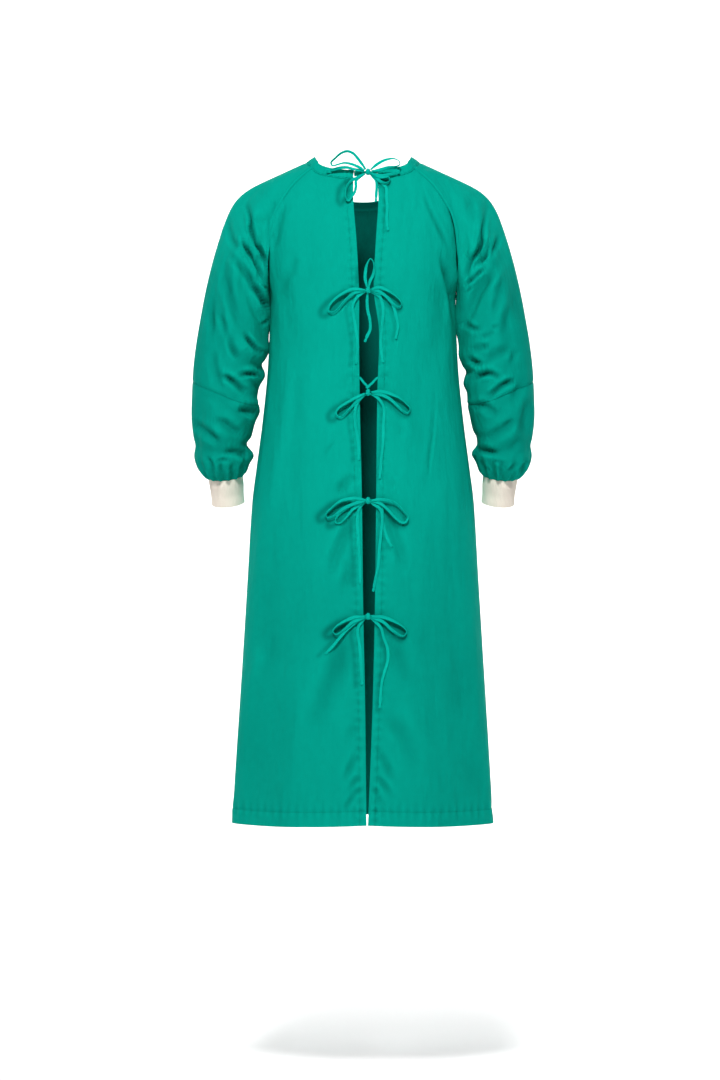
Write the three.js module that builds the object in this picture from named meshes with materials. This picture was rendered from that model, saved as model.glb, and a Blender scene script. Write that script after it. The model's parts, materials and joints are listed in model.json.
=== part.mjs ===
// A surgical gown with raglan sleeves, knit cuffs, a bound neck and an open back that five
// pairs of tapes tie. It keeps the hollow form that it has when it is worn.
// Millimetres. +Z is up, -Y is the gown's back and +X is the wearer's right.
// The origin is the middle of the neck opening, level with the tops of the shoulders.

import * as THREE from 'three';

// Cloth and seams
const CLOTH_THICK = 1.6;
const CUFF_THICK = 2.4;
const BINDING_THICK = 2.2;
const BINDING_WIDE = 13;
const SEAM_GAP = 0.3;
const BINDING_GAP = 0.8;

// Heights on the body
const HEM_HEIGHT = -1194;
const HEM_RISE_AT_OPENING = 5;
const UNDERARM_HEIGHT = -250;

// The body's sections: half its width, its depth behind and in front of the middle, and how
// square the section is, from 2 for an ellipse
const BODY_SECTIONS = [
  { height: -1194, half: 233, back: 182, front: 178, square: 2.1 },
  { height: -1040, half: 224.5, back: 171, front: 168, square: 2.1 },
  { height: -900, half: 216, back: 160, front: 158, square: 2.12 },
  { height: -760, half: 207.5, back: 149, front: 149, square: 2.15 },
  { height: -620, half: 199, back: 138, front: 141, square: 2.2 },
  { height: -560, half: 191.5, back: 133, front: 138, square: 2.2 },
  { height: -480, half: 181, back: 128, front: 135, square: 2.25 },
  { height: -400, half: 172.5, back: 124, front: 133, square: 2.3 },
  { height: -345, half: 169, back: 122, front: 131, square: 2.3 },
  { height: -290, half: 167, back: 121, front: 129, square: 2.35 },
  { height: -250, half: 167, back: 121, front: 127, square: 2.35 },
  { height: -200, half: 180, back: 122, front: 121, square: 2.35 },
  { height: -163, half: 190, back: 121, front: 114, square: 2.35 },
  { height: -134, half: 197, back: 118, front: 106, square: 2.35 },
  { height: -111, half: 200, back: 114, front: 99, square: 2.35 },
  { height: -90, half: 200, back: 109, front: 92, square: 2.3 },
  { height: -70, half: 194, back: 102, front: 84, square: 2.3 },
  { height: -51, half: 180, back: 94, front: 77, square: 2.25 },
  { height: -36, half: 160, back: 86, front: 70, square: 2.2 },
  { height: -21, half: 128, back: 78, front: 63, square: 2.2 },
  { height: -7, half: 97, back: 70, front: 56, square: 2.2 },
];

// The raglan seams, from the underarm to the neck
const BACK_RAGLAN = [
  { height: -250, across: 167 },
  { height: -200, across: 168 },
  { height: -163, across: 167 },
  { height: -134, across: 164 },
  { height: -111, across: 158 },
  { height: -90, across: 148 },
  { height: -51, across: 121 },
  { height: -21, across: 88 },
];
const FRONT_RAGLAN = [
  { height: -250, across: 167 },
  { height: -215, across: 167 },
  { height: -185, across: 164 },
  { height: -150, across: 156 },
  { height: -120, across: 144 },
  { height: -90, across: 126 },
  { height: -60, across: 104 },
  { height: -33, across: 82 },
];

// The neckline: lowest at the middle of the back and of the front, higher at the raglan seams
const BACK_NECK = { low: -44, top: -21, across: 88, bend: 1.9 };
const FRONT_NECK = { low: -85, top: -33, across: 82, bend: 1.9 };
const SLEEVE_NECK = [
  { x: 95, y: -30, height: -12 },
  { x: 97, y: -2, height: -7 },
  { x: 93, y: 30, height: -14 },
];

// The edges of the back opening
const OPENING = [
  { height: -1194, left: 6.2, right: 8.2 },
  { height: -1105, left: 5, right: 12 },
  { height: -970, left: 3.5, right: 17 },
  { height: -793, left: 0, right: 21 },
  { height: -617, left: -2, right: 23 },
  { height: -432, left: -6, right: 25 },
  { height: -317, left: -7, right: 28 },
  { height: -246, left: -7, right: 19 },
  { height: -158, left: -11.6, right: 22.6 },
  { height: -88, left: -17, right: 27 },
  { height: -44, left: -17, right: 26 },
];

// The largest folds of the body, in degrees round from the middle of the back towards the
// right, with their height, lean, half length and half width, and how far they stand out
const BODY_FOLDS = [
  { turn: -30, height: -1120, lean: 3, long: 300, wide: 30, out: 5 },
  { turn: -52, height: -1050, lean: 4, long: 300, wide: 32, out: -4 },
  { turn: -72, height: -1080, lean: 4, long: 330, wide: 34, out: 6 },
  { turn: 26, height: -1130, lean: -3, long: 280, wide: 30, out: 5 },
  { turn: 48, height: -1040, lean: -4, long: 320, wide: 34, out: -4 },
  { turn: 70, height: -1100, lean: -4, long: 320, wide: 32, out: 6 },
  { turn: 112, height: -1080, lean: -3, long: 300, wide: 38, out: -5 },
  { turn: 138, height: -1120, lean: 3, long: 300, wide: 36, out: 6 },
  { turn: 166, height: -1060, lean: 2, long: 330, wide: 40, out: -5 },
  { turn: -112, height: -1100, lean: 3, long: 300, wide: 38, out: -5 },
  { turn: -140, height: -1090, lean: -3, long: 320, wide: 36, out: 6 },
  { turn: -168, height: -1130, lean: -2, long: 260, wide: 36, out: 5 },
  { turn: 55, height: -300, lean: 8, long: 90, wide: 26, out: -5 },
  { turn: -50, height: -320, lean: -10, long: 90, wide: 26, out: -4 },
  { turn: 36, height: -470, lean: 2, long: 130, wide: 30, out: -3 },
  { turn: -40, height: -540, lean: 0, long: 150, wide: 30, out: -3 },
  { turn: 150, height: -260, lean: -12, long: 120, wide: 34, out: -4 },
  { turn: -150, height: -260, lean: 12, long: 120, wide: 34, out: -4 },
];
const MM_PER_DEGREE_OF_BODY = 3.1;

// The right sleeve's sections below the armhole: the middle of each ring, and half its width
// and depth. The left sleeve is its mirror image.
const SLEEVE_SECTIONS = [
  { height: -572, x: 248.5, y: 30, halfAcross: 31, halfDeep: 35 },
  { height: -566, x: 250, y: 28, halfAcross: 36, halfDeep: 41 },
  { height: -554, x: 252.5, y: 25, halfAcross: 43.5, halfDeep: 50 },
  { height: -535, x: 252.5, y: 20, halfAcross: 51, halfDeep: 57 },
  { height: -516, x: 254, y: 15, halfAcross: 48, halfDeep: 56 },
  { height: -500, x: 253.5, y: 11, halfAcross: 52, halfDeep: 62 },
  { height: -470, x: 251.5, y: 4, halfAcross: 57, halfDeep: 68 },
  { height: -430, x: 248, y: -4, halfAcross: 59.5, halfDeep: 73 },
  { height: -385, x: 243.5, y: -9, halfAcross: 61.5, halfDeep: 76 },
  { height: -340, x: 237, y: -9, halfAcross: 62.5, halfDeep: 78 },
  { height: -295, x: 232, y: -7, halfAcross: 60, halfDeep: 80 },
];
const WRIST_HEIGHT = -572;
const ARMHOLE_HEIGHT = -295;
const AXIS_REACH = 60;
const ELBOW_SEAM = { middle: -423, rise: 14 };

// Above the armhole ring the sleeve runs up to the raglan seams. How strongly it leaves the
// ring and arrives at the seams, by degrees round from its outer side, is a share of the way.
const CAP_CURVE = [
  { turn: 0, leave: 1.88, arrive: 1.12 },
  { turn: 25, leave: 1.8, arrive: 0.88 },
  { turn: 50, leave: 1.6, arrive: 0.6 },
  { turn: 90, leave: 1.18, arrive: 0.7 },
  { turn: 135, leave: 0.75, arrive: 0.6 },
  { turn: 180, leave: 0.5, arrive: 0.5 },
];
const CAP_LONG = 230;
const NECK_SHARE = 22;
const SEAM_PLANE_TO = 100;
const UNDERARM_FROM = 150;
const UNDERARM_LAP = 2.3;
const CORNER_REACH = 8;

// The largest folds of a sleeve, in degrees round from its outer side towards the back
const SLEEVE_FOLDS = [
  { turn: 0, height: -172, lean: 0, long: 42, wide: 62, out: 9.5 },
  { turn: 128, height: -250, lean: -26, long: 75, wide: 15, out: -9 },
  { turn: 96, height: -225, lean: -22, long: 80, wide: 15, out: -6 },
  { turn: 60, height: -300, lean: -14, long: 110, wide: 17, out: -5 },
  { turn: 112, height: -190, lean: -20, long: 60, wide: 13, out: 5 },
  { turn: 150, height: -372, lean: -62, long: 40, wide: 12, out: -6 },
  { turn: 152, height: -398, lean: -70, long: 42, wide: 11, out: -5 },
  { turn: 95, height: -450, lean: -34, long: 60, wide: 15, out: -5 },
  { turn: 40, height: -480, lean: 20, long: 60, wide: 16, out: -4 },
  { turn: -120, height: -245, lean: 26, long: 80, wide: 16, out: -8 },
  { turn: -75, height: -280, lean: 14, long: 110, wide: 18, out: -5 },
  { turn: -130, height: -410, lean: 60, long: 45, wide: 13, out: -6 },
  { turn: -70, height: -470, lean: 24, long: 60, wide: 16, out: -5 },
];
const MM_PER_DEGREE_OF_SLEEVE = 1.2;

// The forearm is gathered into the cuff
const GATHERS = 14;
const GATHER_SWELL = [
  { above: 0, out: 1.3 },
  { above: 7, out: 3.4 },
  { above: 18, out: 3 },
  { above: 38, out: 1 },
  { above: 56, out: 0 },
];

// The cuff's sections, down from its seam
const CUFF_SECTIONS = [
  { down: 0, halfAcross: 30.4, halfDeep: 34.5 },
  { down: 16, halfAcross: 29.4, halfDeep: 33.5 },
  { down: 34, halfAcross: 28.4, halfDeep: 32 },
  { down: 50, halfAcross: 29, halfDeep: 33 },
];

// How the binding leans off the cloth's edge, by degrees round from the middle of the back
const BINDING_LEAN = [
  { turn: 0, inward: 0.36, up: 0.93 },
  { turn: 60, inward: 0.66, up: 0.75 },
  { turn: 90, inward: 0.82, up: 0.57 },
  { turn: 120, inward: 0.66, up: 0.75 },
  { turn: 180, inward: 0.45, up: 0.89 },
];

// Columns and rows of the walls
const BACK_COLUMNS = 10;
const FRONT_COLUMNS = 20;
const NECK_COLUMNS = 4;
const SKIRT_ROWS = 15;
const YOKE_ROWS = 12;
const UPPER_ARM_ROWS = 5;
const CAP_ROWS = 9;
const FOREARM_HEIGHTS = [0, 0.05, 0.13, 0.26, 0.42, 0.6, 0.8, 1];

// Tie tapes
const TAPE_WIDE = 5.6;
const TAPE_WIDE_AT_KNOT = 3;
const TAPE_THICK = 1.6;
const TAPE_TAPER = 14;
const TAPE_STEP = 11;
const KNOT = { across: 6.2, deep: 4.6, tall: 5.4, lift: 8, sides: 8, rings: 5 };
const KNOT_GAP = 0.4;
const LEAD_WIDE = 4.4;
const LEAD_UNDER = 12;
const LEAD_LIFT = -2.25;
const LEAD_REACH = 2.6;
const LEAD_WIDE_AT_BINDING = 10;
const TIE_TOP = -46;
const KNOT_ACROSS = 8.5;

// Each tie: the height of its knot, and its strands. A strand leaves the knot, follows its
// points, given across and up from the knot, and a loop comes back to the knot. Its lift over
// the cloth is given where it leaves, in the middle and where it ends.
const TIES = [
  {
    name: 'tie1', height: -34,
    strands: [
      { name: 'loop_left', loop: true, lift: [10.6, 8, 8.4], points: [[-18.5, 24.3], [-26.6, 32.8],
        [-37.5, 36.4], [-48.3, 32.5], [-57.9, 24.3], [-65.3, 16.2], [-62.7, 11.2], [-52.9, 13.3],
        [-41.5, 15.8], [-29.3, 13.7], [-15.6, 8]] },
      { name: 'tail_left', loop: false, lift: [6.2, 4.4, 2.8], points: [[-22.7, 4.4], [-37.5, 8],
        [-48.3, 7.5], [-61.8, 4.8], [-74.2, 2.7]] },
      { name: 'loop_right', loop: true, lift: [10.6, 7, 8.4], points: [[16.9, 13.5], [30.5, 20.9],
        [45.4, 23.6], [55, 19.7], [57, 13.5], [51, 10.1], [35.9, 8], [19.7, 3.4]] },
      { name: 'tail_right', loop: false, lift: [6.2, 4.4, 2.8], points: [[22.4, -6.2],
        [37.3, -4.4], [52.2, 0.5], [56.8, 2.1]] },
      { name: 'loop_low_left', loop: true, lift: [8.4, 5, 6.2], points: [[-14.4, -8.2],
        [-29.3, -16.3], [-36, -24.5], [-38.7, -35.3], [-38.7, -46.3], [-34.6, -53],
        [-29.3, -46.3], [-23.8, -38.2], [-21.1, -27.2], [-20.4, -15.1]] },
      { name: 'loop_low_right', loop: true, lift: [8.4, 8.4, 10.6], points: [[14.2, -9.6],
        [21.7, -16.9], [31.4, -20.4], [38.5, -16.3], [37.6, -8.9], [28.8, -9.8], [19.9, -8.9]] },
      { name: 'tail_down', loop: false, lift: [6.2, 4.4, 2.8], points: [[14.2, -15.1],
        [15.6, -27.2], [14.9, -40.8], [14.2, -54.1]] },
      { name: 'tail_long', loop: false, lift: [4, 3, 2.8], points: [[18, -15], [31.8, -27.5],
        [33.2, -46.3], [34.6, -66.6], [33.2, -87], [35.9, -105.6]] },
    ],
  },
  {
    name: 'tie2', height: -246,
    strands: [
      { name: 'loop_up', loop: true, lift: [9.4, 6, 7.2], points: [[-4.8, 20.4], [-4, 34],
        [-1.4, 46.2], [4.8, 55.8], [10, 48.9], [11.3, 38], [8.9, 25.8], [4, 16.3]] },
      { name: 'loop_left', loop: true, lift: [10.6, 6, 8.4], points: [[-27.6, 1.8],
        [-44.6, -5.7], [-59.5, -16.5], [-69.2, -29.2], [-68.7, -38], [-62, -39.5],
        [-53, -33.6], [-40.4, -18.6], [-25.3, -5.7]] },
      { name: 'loop_right', loop: true, lift: [10.6, 6, 8.4], points: [[19.8, 5], [37, -1.4],
        [52, -12.2], [59.5, -21.8], [58.4, -28.3], [51.2, -29.2], [43.2, -23], [32.6, -11.2],
        [17.7, -1.4]] },
      { name: 'tail_middle', loop: false, lift: [6.2, 4.4, 2.8], points: [[-1.4, -21.6],
        [0, -36.6], [3.4, -51.5], [4, -69.2], [-1.4, -81.4], [-5.5, -91.5]] },
      { name: 'tail_left', loop: false, lift: [6.2, 3.6, 2.8], points: [[-19.1, -12.2],
        [-26.6, -27], [-25.8, -43.4], [-21.8, -65], [-19.1, -84], [-17.7, -101.8],
        [-20.5, -130]] },
      { name: 'tail_right', loop: false, lift: [4, 3.6, 2.8], points: [[20.2, -10.8],
        [25.7, -24.4], [27, -43.4], [25.1, -63.7], [23, -97.7], [26.4, -127.4]] },
      { name: 'tail_thin', loop: false, lift: [6.2, 3.3, 2.8], points: [[31.2, -9.4],
        [42, -21.2], [48.9, -40.7], [52.9, -61], [51.5, -74.7], [49.6, -85.5]] },
    ],
  },
  {
    name: 'tie3', height: -427,
    strands: [
      { name: 'loop_left', loop: true, lift: [10.6, 6, 8.4], points: [[-21.6, -9.4],
        [-38.6, -18.6], [-52, -28], [-56.3, -35.4], [-54, -42.5], [-47, -43.4], [-33.5, -31.3],
        [-21.6, -17.7], [-11.7, -8.9]] },
      { name: 'loop_right', loop: true, lift: [10.6, 6, 8.4], points: [[23.7, 1.8], [41, -2.7],
        [56.3, -9.7], [68, -19.5], [75, -28.3], [71.5, -35.4], [62.7, -33.6], [51.3, -22.8],
        [39.5, -11.9], [25.8, -5]] },
      { name: 'tail_left', loop: false, lift: [6.2, 3.6, 2.8], points: [[-17.3, -16.1],
        [-22.5, -32.7], [-22.5, -55], [-19.1, -75.2], [-16.5, -95.8], [-15.6, -119.5]] },
      { name: 'tail_right', loop: false, lift: [6.2, 3.6, 2.8], points: [[17.3, -9.4],
        [25.8, -21], [28.9, -32.7], [27.6, -55], [26.7, -88.9], [24, -116], [20.7, -152.4]] },
    ],
  },
  {
    name: 'tie4', height: -618,
    strands: [
      { name: 'loop_left_long', loop: true, lift: [12.4, 8.4, 10.2], points: [[-20.9, 4.2],
        [-31, 3.7], [-48, -0.5], [-65.3, -13.5], [-74.3, -23.7], [-72.2, -29.9], [-61.6, -28.1],
        [-41.8, -13.5], [-20.2, -4.2]] },
      { name: 'loop_left_short', loop: true, lift: [8, 4.4, 5.8], points: [[-28.9, -8.1],
        [-46, -19.8], [-56.6, -33.8], [-55.6, -39.6], [-49.2, -39.6], [-41.8, -33.8],
        [-26.7, -15.6], [-13.8, -6.9]] },
      { name: 'loop_right', loop: true, lift: [10.6, 6, 8.4], points: [[26.9, 1.6],
        [48.5, -4.8], [63.4, -19.8], [70.3, -29.6], [67.6, -37], [61.2, -39.1], [48.5, -30.6],
        [35.6, -16.6], [22.7, -5.8]] },
      { name: 'tail_left', loop: false, lift: [3.6, 3.2, 2.8], points: [[-11.7, -8.8],
        [-17, -19.7], [-18.6, -37], [-17, -67], [-14.9, -99.3], [-13.8, -129.2],
        [-13.8, -146.4]] },
      { name: 'tail_right', loop: false, lift: [6.2, 5.4, 2.8], points: [[9.7, -6.8],
        [20.5, -13.5], [25.1, -28.5], [23.7, -52], [20.5, -84.3], [18.4, -114.3],
        [13.1, -140], [9.2, -160.4]] },
      { name: 'tail_thin', loop: false, lift: [4, 2.9, 2.8], points: [[22.7, -11.2],
        [25.8, -34.9], [31.3, -58.4], [37.5, -73.5], [42.5, -81.1]] },
    ],
  },
  {
    name: 'tie5', height: -822,
    strands: [
      { name: 'loop_left', loop: true, lift: [10.6, 6, 8.4], points: [[-22.5, -1.2],
        [-42, -8.7], [-56.8, -18.4], [-61.8, -26.6], [-57.3, -31.5], [-47.6, -28.3],
        [-38.8, -20.9], [-27.3, -10.6]] },
      { name: 'tail_left_long', loop: false, lift: [6.4, 4.4, 2.8], points: [[-19.3, -9.2],
        [-35.2, -21.7], [-49.4, -37.5], [-63.5, -54.5], [-75, -66.4]] },
      { name: 'tail_left', loop: false, lift: [4, 3.4, 2.8], points: [[-9.7, -8.5],
        [-16.1, -17], [-18.2, -30], [-15, -47.3], [-12.9, -69], [-11.3, -95.6],
        [-10.4, -120.4]] },
      { name: 'loop_right', loop: true, lift: [10.6, 6, 8.4], points: [[26.7, -1.2],
        [48.3, -9.7], [63.2, -19.5], [68.3, -27.4], [63.2, -34.5], [54.7, -32.2],
        [41.8, -23.7], [26.7, -9.7]] },
      { name: 'tail_right', loop: false, lift: [6.2, 3.6, 2.8], points: [[9.6, -6.4],
        [22.5, -19.5], [27.6, -37.2], [34.3, -56.6], [35.2, -76], [28.9, -98.8],
        [24.2, -118.6], [21, -161]] },
    ],
  },
];

// The first tie carries on from the binding. The third one's leads come from above its knot
// and cross.
const BINDING_TIE = 'tie1';
const CROSSED_TIE = 'tie3';
const CROSSED_RISE = 26;

// Materials
const CLOTH_FINISH = { color: 0x03a08d, roughness: 0.85, metalness: 0, side: THREE.DoubleSide };
const CUFF_FINISH = { color: 0xe9dfca, roughness: 0.95, metalness: 0 };
const TAPE_FINISH = { color: 0x02947f, roughness: 0.8, metalness: 0 };
const cloth = new THREE.MeshStandardMaterial(CLOTH_FINISH);
const knit = new THREE.MeshStandardMaterial(CUFF_FINISH);
const tape = new THREE.MeshStandardMaterial(TAPE_FINISH);

const gown = new THREE.Group();

// Sums

function mix(from, to, share) {
  return from + (to - from) * share;
}

function radians(degrees) {
  return degrees * Math.PI / 180;
}

function smooth(from, to, at) {
  const share = Math.min(1, Math.max(0, (at - from) / (to - from)));
  return share * share * (3 - 2 * share);
}

function signedPower(value, power) {
  return Math.sign(value) * Math.pow(Math.abs(value), power);
}

function hermite(from, to, leave, arrive, share) {
  const square = share * share;
  const cube = square * share;
  return from * (2 * cube - 3 * square + 1) + leave * (cube - 2 * square + share)
    + to * (3 * square - 2 * cube) + arrive * (cube - square);
}

// A smooth curve through one column of a table whose rows rise by another column
function readTable(rows, key, column, at) {
  const last = rows.length - 1;
  const inside = Math.min(rows[last][key], Math.max(rows[0][key], at));
  let row = 0;
  while (row < last - 1 && inside > rows[row + 1][key]) {
    row += 1;
  }
  const slope = (a, b) => (rows[b][column] - rows[a][column]) / (rows[b][key] - rows[a][key]);
  const span = rows[row + 1][key] - rows[row][key];
  const leave = slope(Math.max(row - 1, 0), row + 1) * span;
  const arrive = slope(row, Math.min(row + 2, last)) * span;
  const share = (inside - rows[row][key]) / span;
  return hermite(rows[row][column], rows[row + 1][column], leave, arrive, share);
}

// How far the folds of a table stand out at a place
function foldsAt(folds, degrees, height, mmPerDegree) {
  let total = 0;
  for (const fold of folds) {
    const turned = ((degrees - fold.turn + 540) % 360) - 180;
    const aside = turned * mmPerDegree;
    const above = height - fold.height;
    const lean = radians(fold.lean);
    const along = (above * Math.cos(lean) + aside * Math.sin(lean)) / fold.long;
    const across = (aside * Math.cos(lean) - above * Math.sin(lean)) / fold.wide;
    total += fold.out * Math.exp(-along * along - across * across);
  }
  return total;
}

// The normal of a surface that two numbers place
function normalOf(surface, first, second, firstStep, secondStep) {
  const across = surface(first + firstStep, second).sub(surface(first - firstStep, second));
  const along = surface(first, second + secondStep).sub(surface(first, second - secondStep));
  return across.cross(along).normalize();
}

// Solids

function addSolid(name, positions, faces, material) {
  let volume = 0;
  const corner = (index) => new THREE.Vector3().fromArray(positions, index * 3);
  for (let i = 0; i < faces.length; i += 3) {
    const turned = corner(faces[i + 1]).cross(corner(faces[i + 2]));
    volume += corner(faces[i]).dot(turned);
  }
  const ordered = volume < 0 ? faces.slice().reverse() : faces;
  const geometry = new THREE.BufferGeometry();
  geometry.setAttribute('position', new THREE.Float32BufferAttribute(positions, 3));
  geometry.setIndex(ordered);
  geometry.computeVertexNormals();
  const mesh = new THREE.Mesh(geometry, material);
  mesh.name = name;
  gown.add(mesh);
}

// A wall of cloth on a grid of places, each with its point and its normal. A tube's columns
// go all the way round.
function addWall(name, grid, thick, isTube, material) {
  const rows = grid.length;
  const columns = grid[0].length;
  const positions = [];
  for (const side of [0.5, -0.5]) {
    for (const row of grid) {
      for (const place of row) {
        const moved = place.point.clone().addScaledVector(place.normal, thick * side);
        positions.push(moved.x, moved.y, moved.z);
      }
    }
  }
  const inner = rows * columns;
  const at = (row, column) => row * columns + column % columns;
  const faces = [];
  const addQuad = (a, b, c, d) => faces.push(a, b, c, a, c, d);
  const spans = isTube ? columns : columns - 1;
  for (let row = 0; row < rows - 1; row += 1) {
    for (let column = 0; column < spans; column += 1) {
      const a = at(row, column);
      const b = at(row, column + 1);
      const c = at(row + 1, column + 1);
      const d = at(row + 1, column);
      addQuad(a, b, c, d);
      addQuad(inner + d, inner + c, inner + b, inner + a);
    }
    if (!isTube) {
      const low = at(row, 0);
      const high = at(row + 1, 0);
      addQuad(inner + low, low, high, inner + high);
      const lowEnd = at(row, columns - 1);
      const highEnd = at(row + 1, columns - 1);
      addQuad(lowEnd, inner + lowEnd, inner + highEnd, highEnd);
    }
  }
  for (let column = 0; column < spans; column += 1) {
    const a = at(0, column);
    const b = at(0, column + 1);
    addQuad(inner + a, inner + b, b, a);
    const c = at(rows - 1, column);
    const d = at(rows - 1, column + 1);
    addQuad(c, d, inner + d, inner + c);
  }
  addSolid(name, positions, faces, material);
}

// A flat tape along points. side(tangent) gives the way its width lies, and wide(share) its
// width there.
function addTape(name, points, side, wide, thick, material) {
  const positions = [];
  const faces = [];
  const last = points.length - 1;
  points.forEach((point, index) => {
    const before = points[Math.max(index - 1, 0)];
    const after = points[Math.min(index + 1, last)];
    const tangent = after.clone().sub(before).normalize();
    const across = side(tangent, index).normalize();
    const up = across.clone().cross(tangent).normalize();
    const half = wide(index) / 2;
    for (const [a, b] of [[-1, -1], [1, -1], [1, 1], [-1, 1]]) {
      const corner = point.clone().addScaledVector(across, a * half);
      corner.addScaledVector(up, b * thick / 2);
      positions.push(corner.x, corner.y, corner.z);
    }
  });
  for (let index = 0; index < last; index += 1) {
    for (let corner = 0; corner < 4; corner += 1) {
      const a = index * 4 + corner;
      const b = index * 4 + (corner + 1) % 4;
      faces.push(a, b, b + 4, a, b + 4, a + 4);
    }
  }
  const end = last * 4;
  faces.push(0, 2, 1, 0, 3, 2, end, end + 1, end + 2, end, end + 2, end + 3);
  addSolid(name, positions, faces, material);
}

// The body's form

function bodyForm(angle, height) {
  const read = (column) => readTable(BODY_SECTIONS, 'height', column, height);
  const power = 2 / read('square');
  const deep = Math.cos(angle) > 0 ? read('back') : read('front');
  const x = read('half') * signedPower(Math.sin(angle), power);
  const y = -deep * signedPower(Math.cos(angle), power);
  return new THREE.Vector3(x, y, height);
}

function bodyPoint(angle, height) {
  const out = foldsAt(BODY_FOLDS, angle * 180 / Math.PI, height, MM_PER_DEGREE_OF_BODY);
  const normal = normalOf(bodyForm, angle, height, 0.01, 1.5);
  return bodyForm(angle, height).addScaledVector(normal, out);
}

function bodyPlace(angle, height) {
  const inside = Math.min(height, BODY_SECTIONS[BODY_SECTIONS.length - 1].height - 2);
  return {
    point: bodyPoint(angle, height),
    normal: normalOf(bodyPoint, angle, inside, 0.01, 1.5),
  };
}

// The angle from the middle of the back, or of the front, to a distance across
function angleAt(across, height) {
  const half = readTable(BODY_SECTIONS, 'height', 'half', height);
  const square = readTable(BODY_SECTIONS, 'height', 'square', height);
  const share = Math.min(1, Math.abs(across) / half);
  return Math.sign(across) * Math.asin(Math.pow(share, square / 2));
}

function neckHeight(neck, across) {
  return neck.low + (neck.top - neck.low) * Math.pow(Math.abs(across) / neck.across, neck.bend);
}

// The rows of a body panel: each gives the height of its seam end and, over the underarm, its
// share of the way up to the neck
function bodyRows(neckTop) {
  const rows = [];
  for (let row = 0; row < SKIRT_ROWS; row += 1) {
    const share = row / SKIRT_ROWS;
    rows.push({ seam: mix(HEM_HEIGHT, UNDERARM_HEIGHT, share), up: 0 });
  }
  for (let row = 0; row <= YOKE_ROWS; row += 1) {
    const up = row / YOKE_ROWS;
    rows.push({ seam: mix(UNDERARM_HEIGHT, neckTop, up), up });
  }
  return rows;
}

// The angle of a raglan or side seam, less half the seam's gap
function seamAngle(raglan, height) {
  const halfTurn = Math.PI / 2;
  if (height <= UNDERARM_HEIGHT) {
    return halfTurn;
  }
  return Math.min(halfTurn, angleAt(readTable(raglan, 'height', 'across', height), height));
}

// Moves a place back from a seam by half of the seam's gap, along its row
function pullBack(place, neighbour) {
  const away = neighbour.point.clone().sub(place.point).normalize();
  place.point.addScaledVector(away, SEAM_GAP / 2);
}

function backPanel(side) {
  const edgeName = side > 0 ? 'right' : 'left';
  return bodyRows(BACK_NECK.top).map((row) => {
    const isYoke = row.up > 0;
    const places = [];
    for (let column = 0; column <= BACK_COLUMNS; column += 1) {
      const share = column / BACK_COLUMNS;
      const topAcross = mix(readTable(OPENING, 'height', edgeName, BACK_NECK.low),
        side * BACK_NECK.across, share);
      const top = neckHeight(BACK_NECK, topAcross);
      const hem = HEM_RISE_AT_OPENING * Math.pow(1 - share, 4) * smooth(-900, HEM_HEIGHT, row.seam);
      const height = isYoke ? mix(UNDERARM_HEIGHT, top, row.up) : row.seam + hem;
      const edge = angleAt(readTable(OPENING, 'height', edgeName, height), height);
      const seam = side * seamAngle(BACK_RAGLAN, row.seam);
      places.push(bodyPlace(mix(edge, seam, share), height));
    }
    pullBack(places[BACK_COLUMNS], places[BACK_COLUMNS - 1]);
    return places;
  });
}

function frontPanel() {
  return bodyRows(FRONT_NECK.top).map((row) => {
    const isYoke = row.up > 0;
    const places = [];
    for (let column = 0; column <= FRONT_COLUMNS; column += 1) {
      const share = 1 - 2 * column / FRONT_COLUMNS;
      const top = neckHeight(FRONT_NECK, share * FRONT_NECK.across);
      const height = isYoke ? mix(UNDERARM_HEIGHT, top, row.up) : row.seam;
      const turned = share * seamAngle(FRONT_RAGLAN, row.seam);
      places.push(bodyPlace(Math.PI - turned, height));
    }
    pullBack(places[0], places[1]);
    pullBack(places[FRONT_COLUMNS], places[FRONT_COLUMNS - 1]);
    return places;
  });
}

// The right sleeve's form

function sleeveMiddle(height) {
  const x = readTable(SLEEVE_SECTIONS, 'height', 'x', height);
  const y = readTable(SLEEVE_SECTIONS, 'height', 'y', height);
  return new THREE.Vector3(x, y, height);
}

function sleeveAxes(height) {
  const low = sleeveMiddle(Math.max(WRIST_HEIGHT, height - AXIS_REACH));
  const high = sleeveMiddle(Math.min(ARMHOLE_HEIGHT, height + AXIS_REACH));
  const axis = high.sub(low).normalize();
  const across = new THREE.Vector3(1, 0, 0);
  across.addScaledVector(axis, -across.dot(axis)).normalize();
  const back = across.clone().cross(axis);
  return { axis, across, back };
}

function armForm(turn, height) {
  const axes = sleeveAxes(height);
  const halfAcross = readTable(SLEEVE_SECTIONS, 'height', 'halfAcross', height);
  const halfDeep = readTable(SLEEVE_SECTIONS, 'height', 'halfDeep', height);
  return sleeveMiddle(height)
    .addScaledVector(axes.across, halfAcross * Math.cos(turn))
    .addScaledVector(axes.back, halfDeep * Math.sin(turn));
}

// A place on the raglan seam, from the underarm, 0, to the neck, 1
function raglanPlace(isBack, up) {
  const raglan = isBack ? BACK_RAGLAN : FRONT_RAGLAN;
  const neck = isBack ? BACK_NECK : FRONT_NECK;
  const height = mix(UNDERARM_HEIGHT, neck.top, up);
  const angle = seamAngle(raglan, height);
  return bodyPlace(isBack ? angle : Math.PI - angle, height);
}

// A place on the edge that a sleeve gives to the neck, from the front, 0, to the back, 1
const neckEnds = [raglanPlace(false, 1), raglanPlace(true, 1)];
const sleeveNeck = new THREE.CatmullRomCurve3([
  neckEnds[1].point,
  ...SLEEVE_NECK.map((row) => new THREE.Vector3(row.x, row.y, row.height)),
  neckEnds[0].point,
], false, 'centripetal');

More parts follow.
